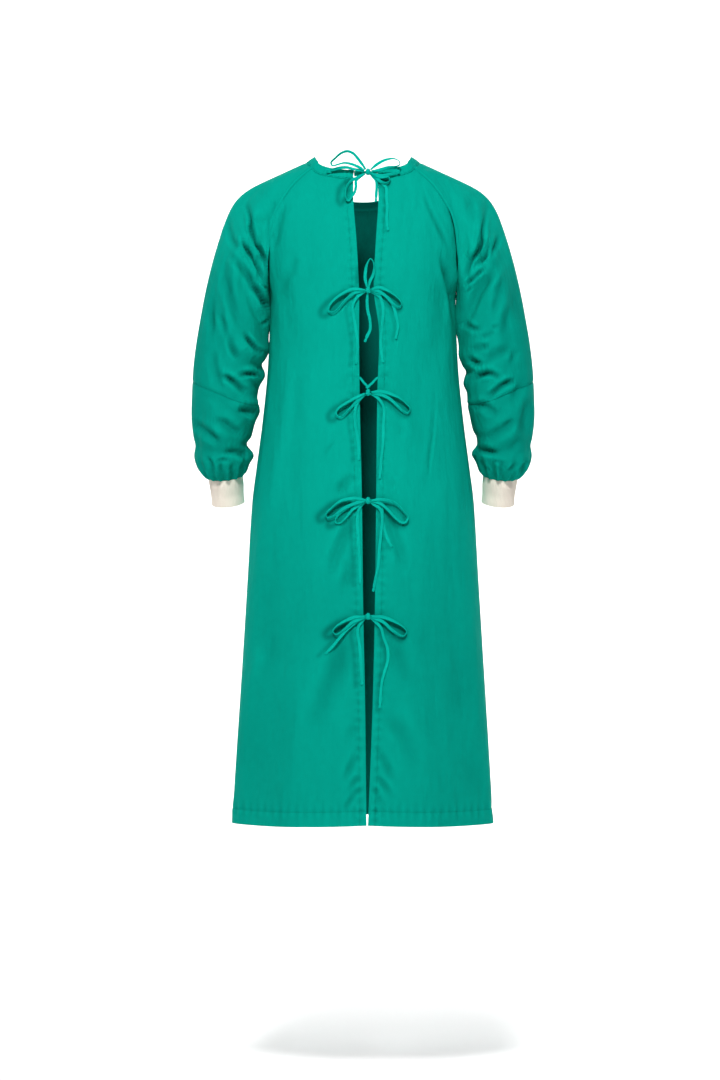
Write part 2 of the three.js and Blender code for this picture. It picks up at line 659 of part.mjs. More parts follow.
function sleeveNeckPlace(share) {
  const point = sleeveNeck.getPoint(1 - share);
  const near = Math.asin(Math.min(1, Math.abs(point.y) / 70)) * Math.sign(point.y);
  const height = Math.min(point.z, -12);
  return { point, normal: normalOf(bodyPoint, Math.PI / 2 + near, height, 0.01, 1.5) };
}

// The seam that ends the sleeve, by degrees round it: the neck, the raglan seams, the underarm
function armholePlace(degrees) {
  const turn = ((degrees + 540) % 360) - 180;
  if (Math.abs(turn) <= NECK_SHARE) {
    return sleeveNeckPlace((turn + NECK_SHARE) / (2 * NECK_SHARE));
  }
  const up = (180 - Math.abs(turn)) / (180 - NECK_SHARE);
  return raglanPlace(turn > 0, up);
}

function capEnd(degrees) {
  const turn = Math.abs(((degrees + 540) % 360) - 180);
  const place = armholePlace(degrees);
  const ahead = armholePlace(degrees + CORNER_REACH).point;
  const behind = armholePlace(degrees - CORNER_REACH).point;
  const along = ahead.sub(behind).normalize();
  const plane = along.clone().cross(place.normal).normalize();
  const start = armForm(radians(degrees), ARMHOLE_HEIGHT);
  const chord = place.point.clone().sub(start);
  const under = smooth(SEAM_PLANE_TO, UNDERARM_FROM, turn);
  const arrive = plane.multiplyScalar(1 - under)
    .addScaledVector(chord.clone().normalize(), under).normalize();
  const point = place.point.clone()
    .addScaledVector(place.normal, UNDERARM_LAP * under)
    .addScaledVector(arrive, -SEAM_GAP / 2);
  return { point, arrive, start, reach: chord.length() };
}

function capForm(degrees, share) {
  const end = capEnd(degrees);
  const turn = Math.abs(((degrees + 540) % 360) - 180);
  const below = armForm(radians(degrees), ARMHOLE_HEIGHT - 4);
  const leave = end.start.clone().sub(below).normalize();
  const leaving = end.reach * readTable(CAP_CURVE, 'turn', 'leave', turn);
  const arriving = end.reach * readTable(CAP_CURVE, 'turn', 'arrive', turn);
  const along = (name) => hermite(end.start[name], end.point[name], leave[name] * leaving,
    end.arrive[name] * arriving, share);
  return new THREE.Vector3(along('x'), along('y'), along('z'));
}

// One number for the way up the sleeve: its height below the armhole ring, and above it the
// same scale carried on over the cap
function sleeveForm(degrees, along) {
  if (along <= ARMHOLE_HEIGHT) {
    return armForm(radians(degrees), Math.max(along, WRIST_HEIGHT));
  }
  return capForm(degrees, (along - ARMHOLE_HEIGHT) / CAP_LONG);
}

function sleevePlace(degrees, along) {
  const top = ARMHOLE_HEIGHT + CAP_LONG;
  const inside = Math.min(top - 1, Math.max(WRIST_HEIGHT + 1, along));
  const normal = normalOf(sleeveForm, degrees, inside, 0.8, 1).negate();
  if (along <= WRIST_HEIGHT) {
    normal.projectOnPlane(sleeveAxes(WRIST_HEIGHT).axis).normalize();
  }
  const fade = 1 - smooth(top - 45, top - 8, along);
  const out = fade * foldsAt(SLEEVE_FOLDS, degrees, along, MM_PER_DEGREE_OF_SLEEVE);
  const above = along - WRIST_HEIGHT;
  const wave = Math.cos(radians(degrees) * GATHERS);
  const swell = wave * readTable(GATHER_SWELL, 'above', 'out', above);
  return { point: sleeveForm(degrees, along).addScaledVector(normal, out + swell), normal };
}

// The degrees round the sleeve of each column: its neck edge, then the raglan seams' rows
function sleeveTurns() {
  const turns = [];
  for (let column = 0; column < NECK_COLUMNS; column += 1) {
    turns.push(mix(-NECK_SHARE, NECK_SHARE, column / NECK_COLUMNS));
  }
  for (let column = 0; column < 2 * YOKE_ROWS; column += 1) {
    turns.push(mix(NECK_SHARE, 360 - NECK_SHARE, column / (2 * YOKE_ROWS)));
  }
  return turns;
}

function elbowHeight(degrees) {
  return ELBOW_SEAM.middle + ELBOW_SEAM.rise * Math.cos(radians(degrees));
}

function mirrored(grid, side) {
  const turn = new THREE.Vector3(side, 1, 1);
  return grid.map((row) => row.map((place) => ({
    point: place.point.clone().multiply(turn),
    normal: place.normal.clone().multiply(turn),
  })));
}

function upperSleeve(side) {
  const rows = [];
  for (let row = 0; row < UPPER_ARM_ROWS; row += 1) {
    const share = row / UPPER_ARM_ROWS;
    rows.push((degrees) => mix(elbowHeight(degrees) + SEAM_GAP / 2, ARMHOLE_HEIGHT, share));
  }
  for (let row = 0; row <= CAP_ROWS; row += 1) {
    rows.push(() => ARMHOLE_HEIGHT + CAP_LONG * row / CAP_ROWS);
  }
  const turns = sleeveTurns();
  return mirrored(rows.map((row) => turns.map((turn) => sleevePlace(turn, row(turn)))), side);
}

function forearmSleeve(side) {
  const turns = sleeveTurns();
  const rows = FOREARM_HEIGHTS.map((share) => turns.map((turn) => {
    const top = elbowHeight(turn) - SEAM_GAP / 2;
    return sleevePlace(turn, mix(WRIST_HEIGHT, top, share));
  }));
  return mirrored(rows, side);
}

function cuff(side) {
  const axes = sleeveAxes(WRIST_HEIGHT);
  const turns = sleeveTurns();
  const rows = CUFF_SECTIONS.slice().reverse().map((section) => turns.map((degrees) => {
    const turn = radians(degrees);
    const normal = axes.across.clone().multiplyScalar(Math.cos(turn) * section.halfDeep)
      .addScaledVector(axes.back, Math.sin(turn) * section.halfAcross).normalize();
    const point = sleeveMiddle(WRIST_HEIGHT)
      .addScaledVector(axes.axis, -section.down - SEAM_GAP)
      .addScaledVector(axes.across, Math.cos(turn) * section.halfAcross)
      .addScaledVector(axes.back, Math.sin(turn) * section.halfDeep);
    return { point, normal };
  }));
  return mirrored(rows, side);
}

// How the binding rises off the edge of the cloth at a point of it
function bindingRise(point) {
  const turn = Math.abs(Math.atan2(point.x, -point.y)) * 180 / Math.PI;
  const inward = readTable(BINDING_LEAN, 'turn', 'inward', turn);
  const up = new THREE.Vector3(0, 0, readTable(BINDING_LEAN, 'turn', 'up', turn));
  const flat = new THREE.Vector3(-point.x, -point.y, 0).normalize();
  return flat.multiplyScalar(inward).add(up).normalize();
}

// The middle of the binding's width over a place on the back neckline
function backNeckMiddle(across) {
  const height = neckHeight(BACK_NECK, across);
  const point = bodyPlace(angleAt(across, height), height).point;
  return point.addScaledVector(bindingRise(point), BINDING_GAP + BINDING_WIDE / 2);
}

// The binding stands on the top rows of the panels and on the sleeves' neck edges
function neckBinding(backLeft, backRight, front) {
  const neckColumns = [];
  for (let column = 1; column < NECK_COLUMNS; column += 1) {
    neckColumns.push(sleeveNeckPlace(column / NECK_COLUMNS));
  }
  const [rightNeck] = mirrored([neckColumns.slice().reverse()], 1);
  const [leftNeck] = mirrored([neckColumns], -1);
  const top = (panel) => panel[panel.length - 1];
  const edge = [
    ...top(backRight),
    ...rightNeck,
    ...top(front),
    ...leftNeck,
    ...top(backLeft).slice().reverse(),
  ];
  const rows = [BINDING_GAP, BINDING_GAP + BINDING_WIDE].map((high) => edge.map((place, index) => {
    const before = edge[Math.max(index - 1, 0)].point;
    const after = edge[Math.min(index + 1, edge.length - 1)].point;
    const along = after.clone().sub(before).normalize();
    const up = bindingRise(place.point);
    return {
      point: place.point.clone().addScaledVector(up, high),
      normal: along.cross(up).normalize(),
    };
  }));
  addWall('neck_binding', rows, BINDING_THICK, false, cloth);
}

// Ties

// A point over the back, by its place across, its height and its lift off the cloth
function overBack(across, height, lift) {
  const level = Math.min(height, TIE_TOP);
  const place = bodyPlace(angleAt(across, level), level);
  return new THREE.Vector3(across, place.point.y - lift, height);
}

function addKnot(tie) {
  const middle = overBack(KNOT_ACROSS, tie.height, KNOT.lift);
  const positions = [middle.x, middle.y, middle.z - KNOT.tall];
  for (let ring = 1; ring < KNOT.rings; ring += 1) {
    const up = Math.PI * ring / KNOT.rings;
    for (let side = 0; side < KNOT.sides; side += 1) {
      const turn = 2 * Math.PI * side / KNOT.sides;
      positions.push(
        middle.x + KNOT.across * Math.sin(up) * Math.cos(turn),
        middle.y + KNOT.deep * Math.sin(up) * Math.sin(turn),
        middle.z - KNOT.tall * Math.cos(up));
    }
  }
  const topPoint = positions.length / 3;
  positions.push(middle.x, middle.y, middle.z + KNOT.tall);
  const faces = [];
  const at = (ring, side) => 1 + (ring - 1) * KNOT.sides + side % KNOT.sides;
  for (let side = 0; side < KNOT.sides; side += 1) {
    faces.push(0, at(1, side + 1), at(1, side));
    for (let ring = 1; ring < KNOT.rings - 1; ring += 1) {
      const a = at(ring, side);
      const b = at(ring, side + 1);
      const c = at(ring + 1, side + 1);
      const d = at(ring + 1, side);
      faces.push(a, b, c, a, c, d);
    }
    faces.push(topPoint, at(KNOT.rings - 1, side), at(KNOT.rings - 1, side + 1));
  }
  addSolid(`${tie.name}_knot`, positions, faces, tape);
}

// Where a strand touches the knot: out from the knot's middle towards a point, at a lift
function knotExit(tie, towards, lift, gap) {
  const turn = Math.atan2(towards[1], towards[0]);
  const aside = Math.max(0, Math.abs(lift - KNOT.lift) - TAPE_THICK / 2);
  const shrink = Math.sqrt(Math.max(0, 1 - (aside / KNOT.deep) ** 2));
  const x = KNOT_ACROSS + Math.cos(turn) * (KNOT.across * shrink + gap);
  const z = tie.height + Math.sin(turn) * (KNOT.tall * shrink + gap);
  return overBack(x, z, lift);
}

function addStrand(tie, strand) {
  const count = strand.points.length;
  const [leave, middle, arrive] = strand.lift;
  const liftAt = (share) => (share < 0.5
    ? mix(leave, middle, smooth(0, 0.5, share))
    : mix(middle, arrive, smooth(0.5, 1, share)));
  const points = [knotExit(tie, strand.points[0], leave, KNOT_GAP)];
  strand.points.forEach(([across, up], index) => {
    const lift = liftAt((index + 1) / (count + (strand.loop ? 1 : 0)));
    points.push(overBack(KNOT_ACROSS + across, tie.height + up, lift));
  });
  if (strand.loop) {
    points.push(knotExit(tie, strand.points[count - 1], arrive, KNOT_GAP));
  }
  const curve = new THREE.CatmullRomCurve3(points, false, 'centripetal');
  const long = curve.getLength();
  const steps = Math.max(6, Math.round(long / TAPE_STEP));
  const spaced = curve.getSpacedPoints(steps);
  const wide = (index) => {
    const from = long * index / steps;
    const near = strand.loop ? Math.min(from, long - from) : from;
    return mix(TAPE_WIDE_AT_KNOT, TAPE_WIDE, smooth(0, TAPE_TAPER, near));
  };
  const viewed = new THREE.Vector3(0, -1, 0);
  const side = (tangent) => tangent.clone().cross(viewed);
  addTape(`${tie.name}_${strand.name}`, spaced, side, wide, TAPE_THICK, tape);
}

// A lead is sewn under the edge of its panel and runs out of the opening to the knot. The
// first tie's leads carry on from the ends of the binding, and the third tie's cross.
function leadPoints(tie, side) {
  const isCrossed = tie.name === CROSSED_TIE;
  const height = tie.height + (isCrossed ? CROSSED_RISE : 0);
  const edge = readTable(OPENING, 'height', side > 0 ? 'right' : 'left', height);
  const sunk = KNOT.deep * Math.sqrt(1 - (LEAD_REACH / KNOT.across) ** 2);
  const end = overBack(KNOT_ACROSS + side * LEAD_REACH, tie.height, KNOT.lift - sunk - 1.4);
  if (tie.name === BINDING_TIE) {
    const start = backNeckMiddle(edge - side * 0.5);
    return [start, start.clone().lerp(end, 0.3), start.clone().lerp(end, 0.7), end];
  }
  const sewn = [LEAD_UNDER, 4, -0.5].map((under) => (
    overBack(edge + side * under, height, LEAD_LIFT)));
  if (!isCrossed) {
    return [...sewn, end];
  }
  const across = KNOT_ACROSS - side * LEAD_REACH;
  const top = overBack(across, tie.height + KNOT.tall + 1.8, side > 0 ? 9.6 : 6.2);
  const half = overBack(mix(edge, across, 0.5), mix(height, top.z, 0.5), side > 0 ? 5.4 : 1.4);
  return [...sewn, half, top];
}

function addLead(tie, side) {
  const isCrossed = tie.name === CROSSED_TIE;
  const startWide = tie.name === BINDING_TIE ? LEAD_WIDE_AT_BINDING : LEAD_WIDE;
  const curve = new THREE.CatmullRomCurve3(leadPoints(tie, side), false, 'centripetal');
  const steps = isCrossed ? 9 : 6;
  const upright = new THREE.Vector3(0, 0, 1);
  const viewed = new THREE.Vector3(0, -1, 0);
  const across = (tangent) => (isCrossed
    ? tangent.clone().cross(viewed).addScaledVector(upright, 0.2 * side)
    : upright.clone());
  const wide = (index) => mix(startWide, LEAD_WIDE, smooth(0, steps, index));
  addTape(`${tie.name}_lead_${side > 0 ? 'right' : 'left'}`, curve.getSpacedPoints(steps),
    across, wide, TAPE_THICK, tape);
}

function addTie(tie) {
  addKnot(tie);
  addLead(tie, -1);
  addLead(tie, 1);
  for (const strand of tie.strands) {
    addStrand(tie, strand);
  }
}

// The gown

const backLeft = backPanel(-1);
const backRight = backPanel(1);
const front = frontPanel();
addWall('front', front, CLOTH_THICK, false, cloth);
addWall('back_left', backLeft, CLOTH_THICK, false, cloth);
addWall('back_right', backRight, CLOTH_THICK, false, cloth);
for (const [name, side] of [['left', -1], ['right', 1]]) {
  addWall(`upper_sleeve_${name}`, upperSleeve(side), CLOTH_THICK, true, cloth);
  addWall(`forearm_sleeve_${name}`, forearmSleeve(side), CLOTH_THICK, true, cloth);
  addWall(`cuff_${name}`, cuff(side), CUFF_THICK, true, knit);
}
neckBinding(backLeft, backRight, front);
TIES.forEach(addTie);

export default gown;
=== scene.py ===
# %% [markdown]
# # A surgical gown, worn and tied at the back
#
# The gown is a hollow shell of thin cloth: a front, two backs with an open slit between them,
# raglan sleeves in two pieces, knit cuffs, a bound neck and five bows of folded tape. A packed
# CAD model gives every piece its place. This lesson lays finer cloth over those forms, presses
# the creases into it, ties the bows and gives each fabric its weave.
#
# Sizes are millimetres until a mesh is made. +Z is up, -Y is the gown's back and +X is the
# wearer's right.

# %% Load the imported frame
import json
import math

import bpy
import numpy as np
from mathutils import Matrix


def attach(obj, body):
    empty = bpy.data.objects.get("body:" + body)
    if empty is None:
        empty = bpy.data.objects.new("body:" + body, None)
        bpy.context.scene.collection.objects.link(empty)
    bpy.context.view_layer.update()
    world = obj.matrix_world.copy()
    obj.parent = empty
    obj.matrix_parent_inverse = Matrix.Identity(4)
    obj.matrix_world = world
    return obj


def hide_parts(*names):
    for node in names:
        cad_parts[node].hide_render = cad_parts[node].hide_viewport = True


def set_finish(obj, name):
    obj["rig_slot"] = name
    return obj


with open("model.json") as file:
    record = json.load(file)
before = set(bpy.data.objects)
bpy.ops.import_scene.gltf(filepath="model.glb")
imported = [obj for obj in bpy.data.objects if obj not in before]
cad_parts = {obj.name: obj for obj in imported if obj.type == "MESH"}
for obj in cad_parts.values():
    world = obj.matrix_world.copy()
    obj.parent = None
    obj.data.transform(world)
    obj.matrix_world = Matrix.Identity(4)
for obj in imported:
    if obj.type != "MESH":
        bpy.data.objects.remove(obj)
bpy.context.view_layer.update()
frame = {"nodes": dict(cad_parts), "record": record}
print("CAD nodes:", len(frame["nodes"]))

# %% [markdown]
# ## The camera
#
# The photograph looks straight at the gown's back from a long way off, so the camera stands
# 7 m behind it with a long lens. The same numbers turn a place on the cloth into the place
# where the picture shows it, which is how the creases find their places later.

# %% Stand the camera where the photograph was taken
PHOTO_MIDDLE = (360, 540)
PHOTO_HIGH = 1080
CAMERA_AT = (-5.4, -7000, -687.6)
CAMERA_LENS = 129.6
SENSOR = 36

camera_data = bpy.data.cameras.new("camera")
camera_data.lens = CAMERA_LENS
camera_data.sensor_width = SENSOR
camera_data.clip_end = 60
camera = bpy.data.objects.new("camera", camera_data)
camera.location = [value / 1000 for value in CAMERA_AT]
camera.rotation_euler = (math.pi / 2, 0, 0)
bpy.context.scene.collection.objects.link(camera)
bpy.context.scene.camera = camera


def to_photo(points):
    """Where the picture shows points of the gown, in pixels."""
    scale = (points[..., 1] - CAMERA_AT[1]) * SENSOR / CAMERA_LENS / PHOTO_HIGH
    across = PHOTO_MIDDLE[0] + (points[..., 0] - CAMERA_AT[0]) / scale
    down = PHOTO_MIDDLE[1] - (points[..., 2] - CAMERA_AT[2]) / scale
    return across, down


print("Millimetres to a pixel at the gown:", round(7000 * SENSOR / CAMERA_LENS / PHOTO_HIGH, 3))

# %% [markdown]
# ## Curves through tables
#
# A maker drafts a garment from a few measured sections. The gown's form is kept the same way:
# short tables of heights and widths, joined by smooth curves. Reading them with numpy gives a
# whole panel of places at once.

# %% Read smooth curves out of short tables


def table(names, rows):
    """The columns of a table, by name."""
    return dict(zip(names.split(), np.array(rows, float).T))


def mix(start, end, share):
    return start + (end - start) * share


def smooth(start, end, at):
    share = np.clip((np.asarray(at, float) - start) / (end - start), 0, 1)
    return share * share * (3 - 2 * share)


def hermite(start, end, leave, arrive, share):
    square = share * share
    cube = square * share
    return (start * (2 * cube - 3 * square + 1) + leave * (cube - 2 * square + share)
            + end * (3 * square - 2 * cube) + arrive * (cube - square))


def read(rows, key, column, at):
    """A smooth curve through one column of a table whose rows rise by another column."""
    keys = rows[key]
    values = rows[column]
    last = len(keys) - 1
    inside = np.clip(np.asarray(at, float), keys[0], keys[-1])
    row = np.clip(np.searchsorted(keys, inside, side="left") - 1, 0, last - 1)

    def slope(first, second):
        return (values[second] - values[first]) / (keys[second] - keys[first])

    span = keys[row + 1] - keys[row]
    leave = slope(np.maximum(row - 1, 0), row + 1) * span
    arrive = slope(row, np.minimum(row + 2, last)) * span
    return hermite(values[row], values[row + 1], leave, arrive, (inside - keys[row]) / span)


def length_of(vectors):
    return np.sqrt((vectors * vectors).sum(-1, keepdims=True))


def unit(vectors):
    return vectors / np.maximum(length_of(vectors), 1e-9)


def points_of(x, y, z):
    return np.stack(np.broadcast_arrays(x, y, z), -1).astype(float)


def normal_of(surface, first, second, first_step, second_step):
    """The normal of a surface that two numbers place."""
    across = surface(first + first_step, second) - surface(first - first_step, second)
    along = surface(first, second + second_step) - surface(first, second - second_step)
    return unit(np.cross(across, along))


def curve_at(points, share):
    """Places on a smooth curve through points, by their share of its spans."""
    last = len(points) - 1
    place = np.clip(np.asarray(share, float), 0, 1) * last
    start = np.clip(np.floor(place).astype(int), 0, last - 1)
    inside = (place - start)[..., None]
    padded = np.vstack([2 * points[:1] - points[1:2], points, 2 * points[-1:] - points[-2:-1]])
    p0, p1, p2, p3 = (padded[start + step] for step in range(4))
    gap0, gap1, gap2 = (np.sqrt(length_of(b - a)) for a, b in ((p0, p1), (p1, p2), (p2, p3)))
    leave = ((p1 - p0) / gap0 - (p2 - p0) / (gap0 + gap1) + (p2 - p1) / gap1) * gap1
    arrive = ((p2 - p1) / gap1 - (p3 - p1) / (gap1 + gap2) + (p3 - p2) / gap2) * gap1
    return hermite(p1, p2, leave, arrive, inside)


def even_steps(points, step):
    """A smooth curve through points, as places an even step apart."""
    fine = curve_at(points, np.linspace(0, 1, 24 * len(points)))
    run = np.concatenate([[0], np.cumsum(length_of(np.diff(fine, axis=0))[:, 0])])
    count = max(6, round(run[-1] / step))
    wanted = np.linspace(0, run[-1], count + 1)
    return np.stack([np.interp(wanted, run, fine[:, axis]) for axis in range(3)], -1)


# %% [markdown]
# ## The body's form
#
# The front and the backs hang on one form: a section a little squarer than an ellipse, wide
# at the hem, slim under the arms and wide again over the shoulders. The tables repeat the
# CAD's own, so the fine cloth lies where the solids are.

# %% Tables of the body
HEM_HEIGHT = -1194
HEM_RISE_AT_OPENING = 5
UNDERARM_HEIGHT = -250
MM_PER_DEGREE_OF_BODY = 3.1

BODY = table("height half back front square", [
    (-1194, 233, 182, 178, 2.1), (-1040, 224.5, 171, 168, 2.1), (-900, 216, 160, 158, 2.12),
    (-760, 207.5, 149, 149, 2.15), (-620, 199, 138, 141, 2.2), (-560, 191.5, 133, 138, 2.2),
    (-480, 181, 128, 135, 2.25), (-400, 172.5, 124, 133, 2.3), (-345, 169, 122, 131, 2.3),
    (-290, 167, 121, 129, 2.35), (-250, 167, 121, 127, 2.35), (-200, 180, 122, 121, 2.35),
    (-163, 190, 121, 114, 2.35), (-134, 197, 118, 106, 2.35), (-111, 200, 114, 99, 2.35),
    (-90, 200, 109, 92, 2.3), (-70, 194, 102, 84, 2.3), (-51, 180, 94, 77, 2.25),
    (-36, 160, 86, 70, 2.2), (-21, 128, 78, 63, 2.2), (-7, 97, 70, 56, 2.2),
])
BACK_RAGLAN = table("height across", [
    (-250, 167), (-200, 168), (-163, 167), (-134, 164), (-111, 158), (-90, 148), (-51, 121),
    (-21, 88),
])
FRONT_RAGLAN = table("height across", [
    (-250, 167), (-215, 167), (-185, 164), (-150, 156), (-120, 144), (-90, 126), (-60, 104),
    (-33, 82),
])
OPENING = table("height left right", [
    (-1194, 6.2, 8.2), (-1105, 5, 12), (-970, 3.5, 17), (-793, 0, 21), (-617, -2, 23),
    (-432, -6, 25), (-317, -7, 28), (-246, -7, 19), (-158, -11.6, 22.6), (-88, -17, 27),
    (-44, -17, 26),
])
BACK_NECK = {"low": -44, "top": -21, "across": 88, "bend": 1.9}
FRONT_NECK = {"low": -85, "top": -33, "across": 82, "bend": 1.9}

FOLD_COLUMNS = "turn height lean long wide out"
BODY_FOLDS = table(FOLD_COLUMNS, [
    (-30, -1120, 3, 300, 30, 5), (-52, -1050, 4, 300, 32, -4), (-72, -1080, 4, 330, 34, 6),
    (26, -1130, -3, 280, 30, 5), (48, -1040, -4, 320, 34, -4), (70, -1100, -4, 320, 32, 6),
    (112, -1080, -3, 300, 38, -5), (138, -1120, 3, 300, 36, 6), (166, -1060, 2, 330, 40, -5),
    (-112, -1100, 3, 300, 38, -5), (-140, -1090, -3, 320, 36, 6), (-168, -1130, -2, 260, 36, 5),
    (55, -300, 8, 90, 26, -5), (-50, -320, -10, 90, 26, -4), (36, -470, 2, 130, 30, -3),
    (-40, -540, 0, 150, 30, -3), (150, -260, -12, 120, 34, -4), (-150, -260, 12, 120, 34, -4),
])

# %% Place the body's cloth


def folds_at(folds, degrees, height, mm_per_degree):
    """How far the large folds of a table stand out at a place."""
    total = 0
    for turn, high, lean, long, wide, out in zip(*folds.values()):
        aside = ((degrees - turn + 540) % 360 - 180) * mm_per_degree
        above = height - high
        lean = math.radians(lean)
        along = (above * math.cos(lean) + aside * math.sin(lean)) / long
        across = (aside * math.cos(lean) - above * math.sin(lean)) / wide
        total = total + out * np.exp(-along * along - across * across)
    return total


def signed_power(value, power):
    return np.sign(value) * np.abs(value) ** power


def body_form(angle, height):
    power = 2 / read(BODY, "height", "square", height)
    back = read(BODY, "height", "back", height)
    front = read(BODY, "height", "front", height)
    deep = np.where(np.cos(angle) > 0, back, front)
    x = read(BODY, "height", "half", height) * signed_power(np.sin(angle), power)
    return points_of(x, -deep * signed_power(np.cos(angle), power), height)


def body_point(angle, height):
    angle, height = np.broadcast_arrays(angle, height)
    out = folds_at(BODY_FOLDS, np.degrees(angle), height, MM_PER_DEGREE_OF_BODY)
    return body_form(angle, height) + normal_of(body_form, angle, height, 0.01, 1.5) * out[..., None]


def body_place(angle, height):
    """The point and the normal of the body's cloth."""
    inside = np.minimum(height, BODY["height"][-1] - 2)
    return body_point(angle, height), normal_of(body_point, angle, inside, 0.01, 1.5)


def angle_at(across, height):
    """The angle from the middle of the back, or of the front, to a distance across."""
    share = np.minimum(1, np.abs(across) / read(BODY, "height", "half", height))
    return np.sign(across) * np.arcsin(share ** (read(BODY, "height", "square", height) / 2))


def neck_height(neck, across):
    return neck["low"] + (neck["top"] - neck["low"]) * (np.abs(across) / neck["across"]) ** neck["bend"]


def seam_angle(raglan, height):
    """The angle of the raglan seam, and of the side below the underarm."""
    angle = np.minimum(math.pi / 2, angle_at(read(raglan, "height", "across", height), height))
    return np.where(np.asarray(height) <= UNDERARM_HEIGHT, math.pi / 2, angle)


print("Hem round the form, in mm:",
      round(float(length_of(np.diff(body_form(np.linspace(0, 2 * math.pi, 721), HEM_HEIGHT), axis=0)).sum())))

# %% [markdown]
# ## The cords: five bows of folded tape
#
# Each bow is a narrow tape, folded and stitched, that leaves its knot, makes a loop or hangs
# as a tail. The routes come first, because a tape is a cord: its length and its ends are fixed
# before its looks. They repeat the CAD's points, measured from each knot.

# %% Routes of the tapes
TIE_TOP = -46
KNOT_ACROSS = 8.5
KNOT = {"across": 6.2, "deep": 4.6, "tall": 5.4, "lift": 8}
KNOT_GAP = 0.4
TAPE_THICK = 1.6

